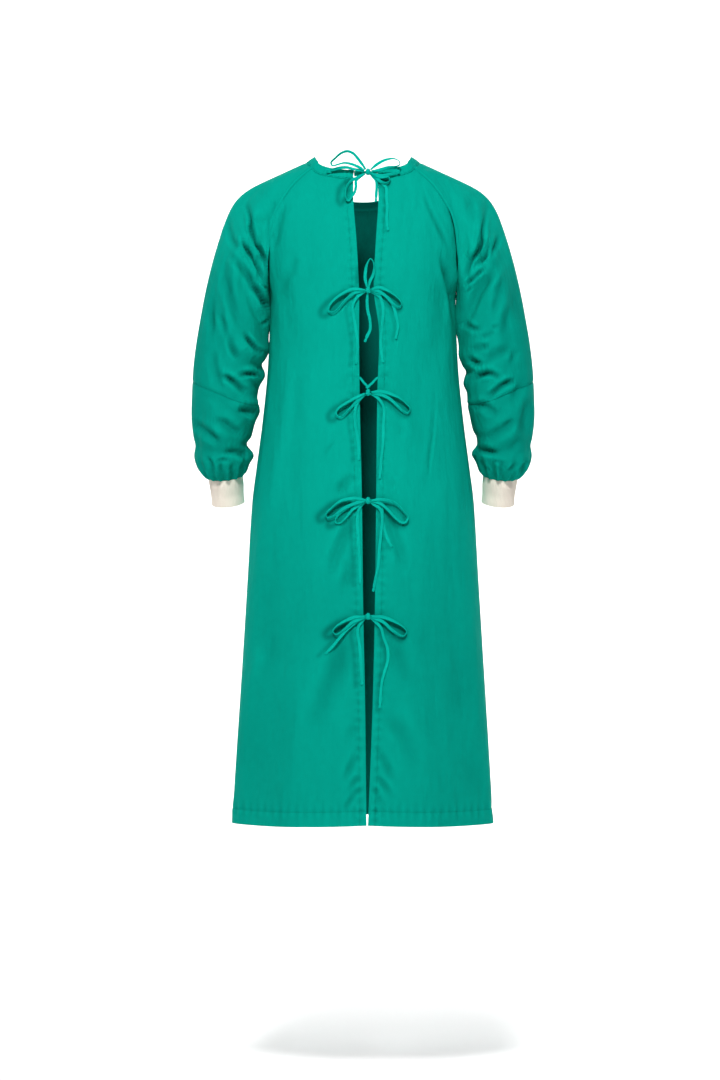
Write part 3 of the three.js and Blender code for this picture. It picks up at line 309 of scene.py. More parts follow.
# Each strand: its name, whether it loops back, its lift off the cloth where it leaves, in the
# middle and where it ends, and its points across and up from the knot
TIES = [
    ("tie1", -34, [
        ("loop_left", True, (10.6, 8, 8.4), [
            (-18.5, 24.3), (-26.6, 32.8), (-37.5, 36.4), (-48.3, 32.5), (-57.9, 24.3),
            (-65.3, 16.2), (-62.7, 11.2), (-52.9, 13.3), (-41.5, 15.8), (-29.3, 13.7),
            (-15.6, 8)]),
        ("tail_left", False, (6.2, 4.4, 2.8), [
            (-22.7, 4.4), (-37.5, 8), (-48.3, 7.5), (-61.8, 4.8), (-74.2, 2.7)]),
        ("loop_right", True, (10.6, 7, 8.4), [
            (16.9, 13.5), (30.5, 20.9), (45.4, 23.6), (55, 19.7), (57, 13.5), (51, 10.1),
            (35.9, 8), (19.7, 3.4)]),
        ("tail_right", False, (6.2, 4.4, 2.8), [
            (22.4, -6.2), (37.3, -4.4), (52.2, 0.5), (56.8, 2.1)]),
        ("loop_low_left", True, (8.4, 5, 6.2), [
            (-14.4, -8.2), (-29.3, -16.3), (-36, -24.5), (-38.7, -35.3), (-38.7, -46.3),
            (-34.6, -53), (-29.3, -46.3), (-23.8, -38.2), (-21.1, -27.2), (-20.4, -15.1)]),
        ("loop_low_right", True, (8.4, 8.4, 10.6), [
            (14.2, -9.6), (21.7, -16.9), (31.4, -20.4), (38.5, -16.3), (37.6, -8.9),
            (28.8, -9.8), (19.9, -8.9)]),
        ("tail_down", False, (6.2, 4.4, 2.8), [
            (14.2, -15.1), (15.6, -27.2), (14.9, -40.8), (14.2, -54.1)]),
        ("tail_long", False, (4, 3, 2.8), [
            (18, -15), (31.8, -27.5), (33.2, -46.3), (34.6, -66.6), (33.2, -87),
            (35.9, -105.6)]),
    ]),
    ("tie2", -246, [
        ("loop_up", True, (9.4, 6, 7.2), [
            (-4.8, 20.4), (-4, 34), (-1.4, 46.2), (4.8, 55.8), (10, 48.9), (11.3, 38),
            (8.9, 25.8), (4, 16.3)]),
        ("loop_left", True, (10.6, 6, 8.4), [
            (-27.6, 1.8), (-44.6, -5.7), (-59.5, -16.5), (-69.2, -29.2), (-68.7, -38),
            (-62, -39.5), (-53, -33.6), (-40.4, -18.6), (-25.3, -5.7)]),
        ("loop_right", True, (10.6, 6, 8.4), [
            (19.8, 5), (37, -1.4), (52, -12.2), (59.5, -21.8), (58.4, -28.3), (51.2, -29.2),
            (43.2, -23), (32.6, -11.2), (17.7, -1.4)]),
        ("tail_middle", False, (6.2, 4.4, 2.8), [
            (-1.4, -21.6), (0, -36.6), (3.4, -51.5), (4, -69.2), (-1.4, -81.4),
            (-5.5, -91.5)]),
        ("tail_left", False, (6.2, 3.6, 2.8), [
            (-19.1, -12.2), (-26.6, -27), (-25.8, -43.4), (-21.8, -65), (-19.1, -84),
            (-17.7, -101.8), (-20.5, -130)]),
        ("tail_right", False, (4, 3.6, 2.8), [
            (20.2, -10.8), (25.7, -24.4), (27, -43.4), (25.1, -63.7), (23, -97.7),
            (26.4, -127.4)]),
        ("tail_thin", False, (6.2, 3.3, 2.8), [
            (31.2, -9.4), (42, -21.2), (48.9, -40.7), (52.9, -61), (51.5, -74.7),
            (49.6, -85.5)]),
    ]),
    ("tie3", -427, [
        ("loop_left", True, (10.6, 6, 8.4), [
            (-21.6, -9.4), (-38.6, -18.6), (-52, -28), (-56.3, -35.4), (-54, -42.5),
            (-47, -43.4), (-33.5, -31.3), (-21.6, -17.7), (-11.7, -8.9)]),
        ("loop_right", True, (10.6, 6, 8.4), [
            (23.7, 1.8), (41, -2.7), (56.3, -9.7), (68, -19.5), (75, -28.3), (71.5, -35.4),
            (62.7, -33.6), (51.3, -22.8), (39.5, -11.9), (25.8, -5)]),
        ("tail_left", False, (6.2, 3.6, 2.8), [
            (-17.3, -16.1), (-22.5, -32.7), (-22.5, -55), (-19.1, -75.2), (-16.5, -95.8),
            (-15.6, -119.5)]),
        ("tail_right", False, (6.2, 3.6, 2.8), [
            (17.3, -9.4), (25.8, -21), (28.9, -32.7), (27.6, -55), (26.7, -88.9), (24, -116),
            (20.7, -152.4)]),
    ]),
    ("tie4", -618, [
        ("loop_left_long", True, (12.4, 8.4, 10.2), [
            (-20.9, 4.2), (-31, 3.7), (-48, -0.5), (-65.3, -13.5), (-74.3, -23.7),
            (-72.2, -29.9), (-61.6, -28.1), (-41.8, -13.5), (-20.2, -4.2)]),
        ("loop_left_short", True, (8, 4.4, 5.8), [
            (-28.9, -8.1), (-46, -19.8), (-56.6, -33.8), (-55.6, -39.6), (-49.2, -39.6),
            (-41.8, -33.8), (-26.7, -15.6), (-13.8, -6.9)]),
        ("loop_right", True, (10.6, 6, 8.4), [
            (26.9, 1.6), (48.5, -4.8), (63.4, -19.8), (70.3, -29.6), (67.6, -37),
            (61.2, -39.1), (48.5, -30.6), (35.6, -16.6), (22.7, -5.8)]),
        ("tail_left", False, (3.6, 3.2, 2.8), [
            (-11.7, -8.8), (-17, -19.7), (-18.6, -37), (-17, -67), (-14.9, -99.3),
            (-13.8, -129.2), (-13.8, -146.4)]),
        ("tail_right", False, (6.2, 5.4, 2.8), [
            (9.7, -6.8), (20.5, -13.5), (25.1, -28.5), (23.7, -52), (20.5, -84.3),
            (18.4, -114.3), (13.1, -140), (9.2, -160.4)]),
        ("tail_thin", False, (4, 2.9, 2.8), [
            (22.7, -11.2), (25.8, -34.9), (31.3, -58.4), (37.5, -73.5), (42.5, -81.1)]),
    ]),
    ("tie5", -822, [
        ("loop_left", True, (10.6, 6, 8.4), [
            (-22.5, -1.2), (-42, -8.7), (-56.8, -18.4), (-61.8, -26.6), (-57.3, -31.5),
            (-47.6, -28.3), (-38.8, -20.9), (-27.3, -10.6)]),
        ("tail_left_long", False, (6.4, 4.4, 2.8), [
            (-19.3, -9.2), (-35.2, -21.7), (-49.4, -37.5), (-63.5, -54.5), (-75, -66.4)]),
        ("tail_left", False, (4, 3.4, 2.8), [
            (-9.7, -8.5), (-16.1, -17), (-18.2, -30), (-15, -47.3), (-12.9, -69),
            (-11.3, -95.6), (-10.4, -120.4)]),
        ("loop_right", True, (10.6, 6, 8.4), [
            (26.7, -1.2), (48.3, -9.7), (63.2, -19.5), (68.3, -27.4), (63.2, -34.5),
            (54.7, -32.2), (41.8, -23.7), (26.7, -9.7)]),
        ("tail_right", False, (6.2, 3.6, 2.8), [
            (9.6, -6.4), (22.5, -19.5), (27.6, -37.2), (34.3, -56.6), (35.2, -76),
            (28.9, -98.8), (24.2, -118.6), (21, -161)]),
    ]),
]


def over_back(across, height, lift):
    """A point over the back, by its place across, its height and its lift off the cloth."""
    level = min(height, TIE_TOP)
    point = body_point(angle_at(across, level), level)
    return np.array([across, float(point[1]) - lift, height])


def knot_exit(knot_height, towards, lift):
    """Where a strand touches its knot, on the way to a point."""
    turn = math.atan2(towards[1], towards[0])
    aside = max(0, abs(lift - KNOT["lift"]) - TAPE_THICK / 2)
    shrink = math.sqrt(max(0, 1 - (aside / KNOT["deep"]) ** 2))
    across = KNOT_ACROSS + math.cos(turn) * (KNOT["across"] * shrink + KNOT_GAP)
    height = knot_height + math.sin(turn) * (KNOT["tall"] * shrink + KNOT_GAP)
    return over_back(across, height, lift)


def strand_route(knot_height, is_loop, lifts, points):
    """The points that a strand follows, from its knot to its end."""
    leave, middle, arrive = lifts
    spans = len(points) + (1 if is_loop else 0)
    route = [knot_exit(knot_height, points[0], leave)]
    for index, (across, up) in enumerate(points):
        share = (index + 1) / spans
        first_half = mix(leave, middle, smooth(0, 0.5, share))
        second_half = mix(middle, arrive, smooth(0.5, 1, share))
        lift = first_half if share < 0.5 else second_half
        route.append(over_back(KNOT_ACROSS + across, knot_height + up, lift))
    if is_loop:
        route.append(knot_exit(knot_height, points[-1], arrive))
    return np.array(route)


routes = {}
for tie_name, knot_height, strands in TIES:
    for strand_name, is_loop, lifts, points in strands:
        routes[f"{tie_name}_{strand_name}"] = strand_route(knot_height, is_loop, lifts, points)
print("Tape strands:", len(routes))

# %% [markdown]
# ## The sleeves' form
#
# A raglan sleeve is a tube that runs from the wrist to the neck. Below the armhole it is a
# stack of ovals round a bent arm line. Above, each line of the cloth leaves the last oval and
# arrives at the raglan seam, like the ribs of a fan. Only the right sleeve is drafted, and the
# left one is its mirror image until its own creases are pressed in.

# %% Tables of the sleeve
SLEEVE = table("height x y halfAcross halfDeep", [
    (-572, 248.5, 30, 31, 35), (-566, 250, 28, 36, 41), (-554, 252.5, 25, 43.5, 50),
    (-535, 252.5, 20, 51, 57), (-516, 254, 15, 48, 56), (-500, 253.5, 11, 52, 62),
    (-470, 251.5, 4, 57, 68), (-430, 248, -4, 59.5, 73), (-385, 243.5, -9, 61.5, 76),
    (-340, 237, -9, 62.5, 78), (-295, 232, -7, 60, 80),
])
CAP_CURVE = table("turn leave arrive", [
    (0, 1.88, 1.12), (25, 1.8, 0.88), (50, 1.6, 0.6), (90, 1.18, 0.7), (135, 0.75, 0.6),
    (180, 0.5, 0.5),
])
SLEEVE_FOLDS = table(FOLD_COLUMNS, [
    (0, -172, 0, 42, 62, 9.5), (128, -250, -26, 75, 15, -9), (96, -225, -22, 80, 15, -6),
    (60, -300, -14, 110, 17, -5), (112, -190, -20, 60, 13, 5), (150, -372, -62, 40, 12, -6),
    (152, -398, -70, 42, 11, -5), (95, -450, -34, 60, 15, -5), (40, -480, 20, 60, 16, -4),
    (-120, -245, 26, 80, 16, -8), (-75, -280, 14, 110, 18, -5), (-130, -410, 60, 45, 13, -6),
    (-70, -470, 24, 60, 16, -5),
])
GATHER_SWELL = table("above out", [(0, 1.3), (7, 3.4), (18, 3), (38, 1), (56, 0)])
CUFF = table("down halfAcross halfDeep", [
    (0, 30.4, 34.5), (16, 29.4, 33.5), (34, 28.4, 32), (50, 29, 33),
])
SLEEVE_NECK = [(95, -30, -12), (97, -2, -7), (93, 30, -14)]
WRIST_HEIGHT = -572
ARMHOLE_HEIGHT = -295
AXIS_REACH = 60
ELBOW_MIDDLE = -423
ELBOW_RISE = 14
CAP_LONG = 230
NECK_SHARE = 22
UNDERARM_LAP = 2.3
CORNER_REACH = 8
GATHERS = 14
MM_PER_DEGREE_OF_SLEEVE = 1.2
SEAM_GAP = 0.3

# %% Place the sleeve's cloth


def sleeve_middle(height):
    x = read(SLEEVE, "height", "x", height)
    return points_of(x, read(SLEEVE, "height", "y", height), height)


def sleeve_axes(height):
    """The sleeve's own line at a height, and the ways across it and to its back."""
    low = sleeve_middle(np.maximum(WRIST_HEIGHT, height - AXIS_REACH))
    high = sleeve_middle(np.minimum(ARMHOLE_HEIGHT, height + AXIS_REACH))
    axis = unit(high - low)
    across = unit(np.array([1.0, 0, 0]) - axis * axis[..., :1])
    return axis, across, np.cross(across, axis)


def arm_form(degrees, height):
    degrees, height = np.broadcast_arrays(degrees, height)
    _, across, back = sleeve_axes(height)
    turn = np.radians(degrees)
    wide = read(SLEEVE, "height", "halfAcross", height) * np.cos(turn)
    deep = read(SLEEVE, "height", "halfDeep", height) * np.sin(turn)
    return sleeve_middle(height) + across * wide[..., None] + back * deep[..., None]


def raglan_place(is_back, up):
    """The point and normal of the raglan seam, from the underarm, 0, to the neck, 1."""
    raglan, neck = (BACK_RAGLAN, BACK_NECK) if is_back else (FRONT_RAGLAN, FRONT_NECK)
    height = mix(UNDERARM_HEIGHT, neck["top"], up)
    angle = seam_angle(raglan, height)
    return body_place(angle if is_back else math.pi - angle, height)


sleeve_neck = np.array([raglan_place(True, 1.0)[0], *SLEEVE_NECK, raglan_place(False, 1.0)[0]])


def sleeve_neck_place(share):
    """The edge that a sleeve gives to the neck, from the front, 0, to the back, 1."""
    point = curve_at(sleeve_neck, 1 - np.asarray(share, float))
    y = point[..., 1]
    near = np.arcsin(np.minimum(1, np.abs(y) / 70)) * np.sign(y)
    height = np.minimum(point[..., 2], -12)
    return point, normal_of(body_point, math.pi / 2 + near, height, 0.01, 1.5)


def turned(degrees):
    return (np.asarray(degrees, float) + 540) % 360 - 180


def armhole_place(degrees):
    """The seam that ends the sleeve: the neck, the raglan seams and the underarm."""
    turn = turned(degrees)
    up = np.clip((180 - np.abs(turn)) / (180 - NECK_SHARE), 0, 1)
    neck = sleeve_neck_place(np.clip((turn + NECK_SHARE) / (2 * NECK_SHARE), 0, 1))
    back = raglan_place(True, up)
    front = raglan_place(False, up)
    is_neck = (np.abs(turn) <= NECK_SHARE)[..., None]
    is_back = (turn > 0)[..., None]
    return [np.where(is_neck, neck[i], np.where(is_back, back[i], front[i])) for i in (0, 1)]


def cap_form(degrees, share):
    turn = np.abs(turned(degrees))
    place, normal = armhole_place(degrees)
    along = unit(armhole_place(degrees + CORNER_REACH)[0] - armhole_place(degrees - CORNER_REACH)[0])
    plane = unit(np.cross(along, normal))
    start = arm_form(degrees, ARMHOLE_HEIGHT)
    chord = place - start
    under = smooth(100, 150, turn)[..., None]
    arrive = unit(plane * (1 - under) + unit(chord) * under)
    end = place + normal * UNDERARM_LAP * under - arrive * SEAM_GAP / 2
    leave = unit(start - arm_form(degrees, ARMHOLE_HEIGHT - 4))
    reach = length_of(chord)
    leaving = leave * reach * read(CAP_CURVE, "turn", "leave", turn)[..., None]
    arriving = arrive * reach * read(CAP_CURVE, "turn", "arrive", turn)[..., None]
    return hermite(start, end, leaving, arriving, np.asarray(share, float)[..., None])


def sleeve_form(degrees, along):
    """One number carries on from the height below the armhole ring, over the cap."""
    degrees, along = np.broadcast_arrays(degrees, along)
    arm = arm_form(degrees, np.clip(along, WRIST_HEIGHT, ARMHOLE_HEIGHT))
    cap = cap_form(degrees, np.maximum(0, along - ARMHOLE_HEIGHT) / CAP_LONG)
    return np.where((along <= ARMHOLE_HEIGHT)[..., None], arm, cap)


def sleeve_place(degrees, along):
    """The point and the normal of the sleeve's cloth."""
    degrees, along = np.broadcast_arrays(np.asarray(degrees, float), np.asarray(along, float))
    top = ARMHOLE_HEIGHT + CAP_LONG
    inside = np.clip(along, WRIST_HEIGHT + 1, top - 1)
    normal = -normal_of(sleeve_form, degrees, inside, 0.8, 1)
    axis = sleeve_axes(np.array(float(WRIST_HEIGHT)))[0]
    flat = unit(normal - axis * (normal @ axis)[..., None])
    normal = np.where((along <= WRIST_HEIGHT)[..., None], flat, normal)
    fade = 1 - smooth(top - 45, top - 8, along)
    out = fade * folds_at(SLEEVE_FOLDS, degrees, along, MM_PER_DEGREE_OF_SLEEVE)
    swell = read(GATHER_SWELL, "above", "out", along - WRIST_HEIGHT)
    out = out + swell * np.cos(np.radians(degrees) * GATHERS)
    return sleeve_form(degrees, along) + normal * out[..., None], normal


print("Armhole round, in mm:",
      round(float(length_of(np.diff(arm_form(np.arange(361.0), ARMHOLE_HEIGHT), axis=0)).sum())))

# %% [markdown]
# ## Pressing creases into cloth
#
# The photograph gives each crease a path, so a crease is a soft trough along a path that is
# seen from the camera. Its middle goes in, the cloth beside it swells a little, its ends run
# out to nothing and its depth wavers, as it does in real cloth. It is pressed only into the
# side that faces the path, so the front keeps creases of its own.

# %% A crease along a path
BACK_FACING = -1
FRONT_FACING = 1
PIXEL = 1.79
SOFT_FROM = 8
SOFT_SHARE = 0.3
SHORT_CREASE = 36
CREASE_REACH = 3.2
DEEPENS_OVER = 0.42
FADES_FROM = 0.62
WAVER = 0.22
BANK_AT = 1.7


def smooth_path(pixels, step=3.0):
    """A path through a few pixels, as places an even step apart and the share of the way."""
    points = np.array([(across, down, 0) for across, down in pixels], float)
    places = even_steps(points, step)[:, :2]
    return places, np.linspace(0, 1, len(places))


def press_crease(seen, path, wide, deep, swell, skew, phase):
    """How far one crease moves the cloth, at places that the picture shows at seen."""
    places, shares = smooth_path(path)
    reach = CREASE_REACH * wide / PIXEL + 2
    low, high = places.min(0) - reach, places.max(0) + reach
    near = np.all((seen > low) & (seen < high), axis=-1)
    moved = np.zeros(seen.shape[:-1])
    if not near.any():
        return moved
    spots = seen[near]
    gaps = spots[:, None, :] - places[None, :, :]
    squares = (gaps * gaps).sum(-1)
    nearest = squares.argmin(1)
    along = np.gradient(places, axis=0)
    along /= np.maximum(np.hypot(along[:, 0], along[:, 1]), 1e-6)[:, None]
    gap = gaps[np.arange(len(spots)), nearest]
    way = along[nearest]
    side = way[:, 0] * gap[:, 1] - way[:, 1] * gap[:, 0]
    beyond = np.abs((gap * way).sum(1)) * PIXEL
    share = shares[nearest]
    across = side * PIXEL / wide
    across = across * np.where(across > 0, 1 + skew, 1 - skew)
    run = smooth(0, DEEPENS_OVER, share) * (1 - smooth(FADES_FROM, 1, share))
    run = run * np.clip(length_of(np.diff(places, axis=0)).sum() / SHORT_CREASE, 0.4, 1)
    waver = 1 + WAVER * np.sin(2 * math.pi * (1.6 * share + phase))
    trough = -np.exp(-across * across)
    banks = swell * (np.exp(-(across - BANK_AT) ** 2) + np.exp(-(across + BANK_AT) ** 2))
    moved[near] = deep * run * waver * (trough + banks) * np.exp(-(beyond / (0.6 * wide + 2)) ** 2)
    return moved


def press(points, normals, creases, facing, gain, spread=1):
    """How far a list of creases moves the cloth out over a grid, and how deep its sharp ones are, which is
    painted into the colour as shade.
    """
    seen = np.stack(to_photo(points), -1)
    total = np.zeros(points.shape[:-1])
    sharp = np.zeros(points.shape[:-1])
    for index, (wide, deep, swell, skew, path) in enumerate(creases):
        moved = press_crease(seen, path, wide * spread, deep * gain, swell, skew, 0.37 * index)
        total += moved
        # Painted shade: each crease darkens the colour by its depth, the sharp ones fully and the wide ones
        # less.
        sharp += moved * mix(1, SOFT_SHARE, smooth(3.5, SOFT_FROM, wide * spread))
    fade = smooth(0.0, 0.3, facing * normals[..., 1])
    return total * fade, sharp * fade


# %% [markdown]
# ## Where the creases are
#
# Arms that hang down crumple a raglan sleeve at the armpit, so sharp creases run from there
# down the sleeve, and softer ones follow the forearm. The bows pull the backs together, so
# shallow creases run from each knot. Each row gives the half width and the depth in
# millimetres, how much its banks swell, how far its deepest line leans to one side, and its
# path as the picture shows it.

# %% Creases of the back
SLEEVE_CREASES = [
    (3.4, 3.4, 0.6, 0.3, [(243, 200), (247, 211), (249, 219), (250, 227),
                          (253.5, 239), (260, 252), (265.5, 263), (267, 275)]),
    (9, 1.2, 0.3, 0, [(241, 186), (245, 206), (248, 222), (252, 244)]),
    (3, 3, 0.5, 0.3, [(240, 230), (242, 239), (247, 251), (253.5, 261), (260, 274), (267, 283)]),
    (5, 2.2, 0.4, 0, [(226, 251), (234, 259), (244, 270), (251, 282), (256, 298)]),
    (7, 2.6, 0.4, 0.2, [(224, 252), (225, 269), (228, 292), (234, 309), (241, 326), (249, 340)]),
    (4.5, 3.6, 0.4, -0.3, [(251, 281), (258, 290), (265, 303.5), (268, 312)]),
    (2.2, 2, 0.4, 0, [(263, 285), (267, 290)]),
    (3, 2, 0.4, 0, [(256, 326), (264, 321), (267, 315)]),
    (5, 2, 0.4, 0, [(229, 215), (229, 231), (234, 244), (240, 252)]),
    (5, 1.6, 0.4, 0, [(214, 292), (212, 315), (213, 340)]),
    (4, 1.4, 0.4, 0, [(219, 309), (224, 326), (226, 340)]),
    (8, 2, 0.4, 0, [(275, 199), (268, 214), (259, 230)]),
    (3.4, 3.4, 0.6, -0.3, [(489, 202), (487, 211), (485.5, 220), (483, 238),
                            (479, 252), (471, 262), (467, 274), (463, 284)]),
    (9, 1.2, 0.3, 0, [(491, 188), (488, 208), (486, 224), (481, 246)]),
    (3, 2.6, 0.5, -0.2, [(492, 239), (485, 258), (475, 267)]),
    (4, 2.2, 0.4, 0, [(500, 231), (496, 245), (487, 260)]),
    (3.2, 2.8, 0.4, 0, [(487, 266), (478, 274), (469, 282), (464, 287)]),
    (2.4, 2.2, 0.4, 0, [(476, 285), (469, 290), (464, 294)]),
    (7, 2.8, 0.4, -0.2, [(502, 255), (492, 274), (480, 292), (471, 313), (467, 317)]),
    (6, 1.8, 0.4, 0, [(503, 275), (498, 298), (492, 318)]),
    (4, 2.4, 0.4, 0, [(464, 320), (473.5, 328), (483, 328)]),
    (3.4, 1.8, 0.4, 0, [(490, 328), (501, 325)]),
    (9, 1.8, 0.4, 0, [(510, 258), (515, 286), (517, 309), (521, 332)]),
    (6, 1.4, 0.4, 0, [(508, 298), (506, 321), (502, 340)]),
    (8, 2, 0.4, 0, [(469, 192), (473.5, 212), (479, 230)]),
    # The left forearm
    (5, 2.2, 0.4, 0.2, [(228.4, 330), (230.5, 344), (236, 355), (243.6, 362.5)]),
    (3.6, 3, 0.5, -0.3, [(243.6, 330), (250, 341), (258.8, 350.6), (265.3, 353)]),
    (4.5, 4.6, 0.4, 0, [(253, 367), (258, 370), (266, 374)]),
    (3.6, 3.4, 0.5, 0.2, [(236, 377), (243.6, 374.5), (252.2, 374.5), (262, 378)]),
    (4.6, 3.2, 0.5, 0, [(217, 375), (225, 376.6), (233.8, 382), (242.5, 389.7), (250, 393.5)]),
    (6, 1.6, 0.4, 0, [(212, 346), (214.3, 366), (218.6, 382), (222, 391)]),
    (7, 4.2, 0.5, 0, [(236, 418), (243, 411), (251, 411), (261, 414)]),
    (6, 1.4, 0.4, 0, [(206.7, 391.8), (214.3, 397.2), (223, 405)]),
    (6, 2.6, 0.4, 0, [(190, 422), (201.3, 427.6), (212, 436.3), (223, 447)]),
    (6.5, 2.4, 0.4, 0, [(207, 421), (220.8, 422.2), (233.8, 431), (246, 436.5)]),
    (5, 2.6, 0.5, 0, [(222, 454.5), (231.6, 451.5), (241.4, 454), (251, 455)]),
    (3, 2, 0.4, 0, [(214, 462.5), (221.9, 460), (232, 460)]),
    (2.8, 2.4, 0.4, 0, [(206, 455), (211.6, 463.4), (214, 472)]),
    (2.4, 2, 0.4, 0, [(222, 461), (220.8, 467.7), (222.6, 473)]),
    (2.4, 2, 0.4, 0, [(233, 463), (229, 471)]),
    # The right forearm
    (4, 1.8, 0.4, 0, [(479, 340), (485.8, 335.4), (495, 331.5)]),
    (5, 2.2, 0.4, 0, [(469, 350), (482.5, 347.4), (493, 346)]),
    (4.6, 4.2, 0.5, 0, [(468, 356), (474, 361), (484, 365.5)]),
    (7, 2.6, 0.4, 0.2, [(482, 363.5), (492.3, 357), (502, 352.8), (513, 348)]),
    (5, 1.8, 0.4, 0, [(509, 368), (512.9, 358.2), (515.5, 347)]),
    (4, 3.2, 0.5, 0.2, [(472, 381), (481.5, 375.6), (490, 373.9), (502, 379)]),
    (4.4, 3, 0.5, 0, [(485.5, 399.5), (495.6, 390.7), (506.4, 383.1), (519, 380)]),
    (7, 1.8, 0.4, 0, [(507, 408), (514, 397.2), (520.5, 386.4), (524, 375)]),
    (6, 2.6, 0.4, 0, [(470, 411), (480.4, 405.9), (489, 409.2), (499, 417)]),
    (7, 2.6, 0.4, 0, [(484, 440.5), (497.7, 433), (508.6, 425.4), (519, 415)]),
    (6, 1.8, 0.4, 0, [(506, 451), (515, 443.9), (524, 436.5)]),
    (6, 1.6, 0.4, 0, [(519, 441), (523.8, 417), (529, 397)]),
    (5, 2.4, 0.5, 0, [(472, 460), (480.4, 451), (491.2, 451.5), (502, 455.5)]),
    (3, 1.8, 0.4, 0, [(491, 462.3), (496.6, 461.2), (504.5, 464)]),
    (2.6, 2.2, 0.4, 0, [(502, 460), (500, 475)]),
    (2.8, 2.4, 0.4, 0, [(517, 462), (506, 474)]),
    (2.8, 2.2, 0.4, 0, [(527, 460), (519, 473)]),
    (2.2, 1.6, 0.4, 0, [(485, 465), (491, 473)]),
]
BACK_CREASES = [
    # Under the arms
    (7, 3, 0.4, 0.2, [(290, 198), (282, 210.5), (278, 224), (275, 240), (272, 258)]),
    (2.4, 2, 0.4, 0, [(273.6, 227), (272, 236), (271, 243)]),
    (8, 2.2, 0.4, 0, [(295, 247), (291, 269), (283, 284), (278, 303)]),
    (4.5, 2, 0.4, 0, [(423, 190), (429, 206), (437, 224), (446, 243), (452, 255)]),
    (7, 4.4, 0.5, 0.2, [(440, 244), (442.5, 261), (447, 277), (450.5, 292), (454, 315), (457, 332)]),
    (7, 2.4, 0.4, 0, [(445, 205), (453, 213), (457, 229), (459, 251)]),
    # Where the back turns to the side
    (10, -1.6, 0.2, 0, [(262, 530), (274, 477), (283, 433), (290, 374), (295, 335)]),
    (3.4, 1.1, 0.6, 0.3, [(427, 505), (429.5, 462), (433.2, 433), (436, 385)]),
    (16, 1.6, 0.2, 0, [(441, 500), (443, 450), (446, 400), (449, 350)]),
    # Drawn towards the bows
    (5, 1.2, 0.4, 0, [(318, 461), (328.3, 448.8), (338, 437)]),
    (9, 3.6, 0.4, 0, [(334, 499), (343, 486), (357, 473)]),
    (10, 3.6, 0.4, 0, [(329, 585), (335, 560), (344, 537), (353, 518), (356, 508)]),
    (9, 1.8, 0.4, 0, [(383, 473), (390, 481), (398, 494)]),
    (10, 3.4, 0.4, 0, [(379, 500), (385, 515), (394, 532), (402, 556), (406, 575)]),
    (9, 2.6, 0.4, 0, [(392, 415), (400, 428), (404, 441)]),
    (8, 2.4, 0.4, 0, [(383, 368), (388, 378), (392, 392)]),
    (8, 2.4, 0.4, 0, [(352, 372), (346, 384), (343, 394)]),
    (10, 2.6, 0.4, 0, [(350, 545), (348, 572), (342, 600)]),
    # The skirt
    (17, 3.4, 0.3, 0.15, [(347, 608), (341, 634), (337, 660), (329.3, 681.4), (320.4, 703), (310, 742)]),
    (18, 1.2, 0.3, 0, [(272, 570), (269, 613.6), (272, 649), (277, 676)]),
    (9, -1.4, 0.3, 0, [(250, 700), (258, 662), (264, 630)]),
    (13, 2.2, 0.4, 0.15, [(378, 707), (389, 719), (400.7, 731.4), (411.4, 754.6), (420, 776)]),
    (6.5, 2, 0.4, 0, [(372, 744), (382.9, 758.2), (389, 771), (393, 785)]),
    (5.5, 1.6, 0.4, 0, [(371, 771), (382.9, 783.2), (395, 801)]),
    (5, 1.8, 0.4, 0, [(370, 783), (376, 792), (382, 806)]),
    (6.5, 1.9, 0.4, 0, [(364, 744), (356, 756.4), (350, 768), (344, 785)]),
    (5.5, 1.5, 0.4, 0, [(364.5, 770), (356, 779.6), (346, 799)]),
    (5, 1.8, 0.4, 0, [(365, 785), (354.3, 794), (344.5, 811)]),
    (8, 1.8, 0.4, 0, [(363.5, 719), (356, 726), (348, 741)]),
    (15, 2.8, 0.3, 0, [(390, 632), (400.7, 660), (411, 690)]),
    (20, 1.2, 0.3, 0, [(471, 645), (462, 685), (459, 725)]),
    (16, 1, 0.3, 0, [(468, 750), (478, 801)]),
]
FRONT_CREASES = [
    (8, 3, 0.4, 0.2, [(288, 205), (281, 232), (276, 262), (274, 290)]),
    (8, 3, 0.4, 0.2, [(440, 202), (446, 234), (451, 268), (454, 300)]),
    (14, 2.2, 0.3, 0, [(330, 240), (318, 300), (312, 352)]),
    (14, 2.2, 0.3, 0, [(402, 250), (414, 312), (418, 372)]),
    (16, 3, 0.3, 0, [(352, 560), (340, 640), (326, 720), (318, 790)]),
    (17, 3, 0.3, 0, [(384, 575), (398, 655), (414, 735), (420, 800)]),
    (14, 2.4, 0.3, 0, [(300, 600), (290, 680), (276, 770)]),
    (15, 2.4, 0.3, 0, [(432, 590), (446, 680), (462, 780)]),
    (12, 2, 0.3, 0, [(362, 300), (366, 380), (362, 460)]),
]
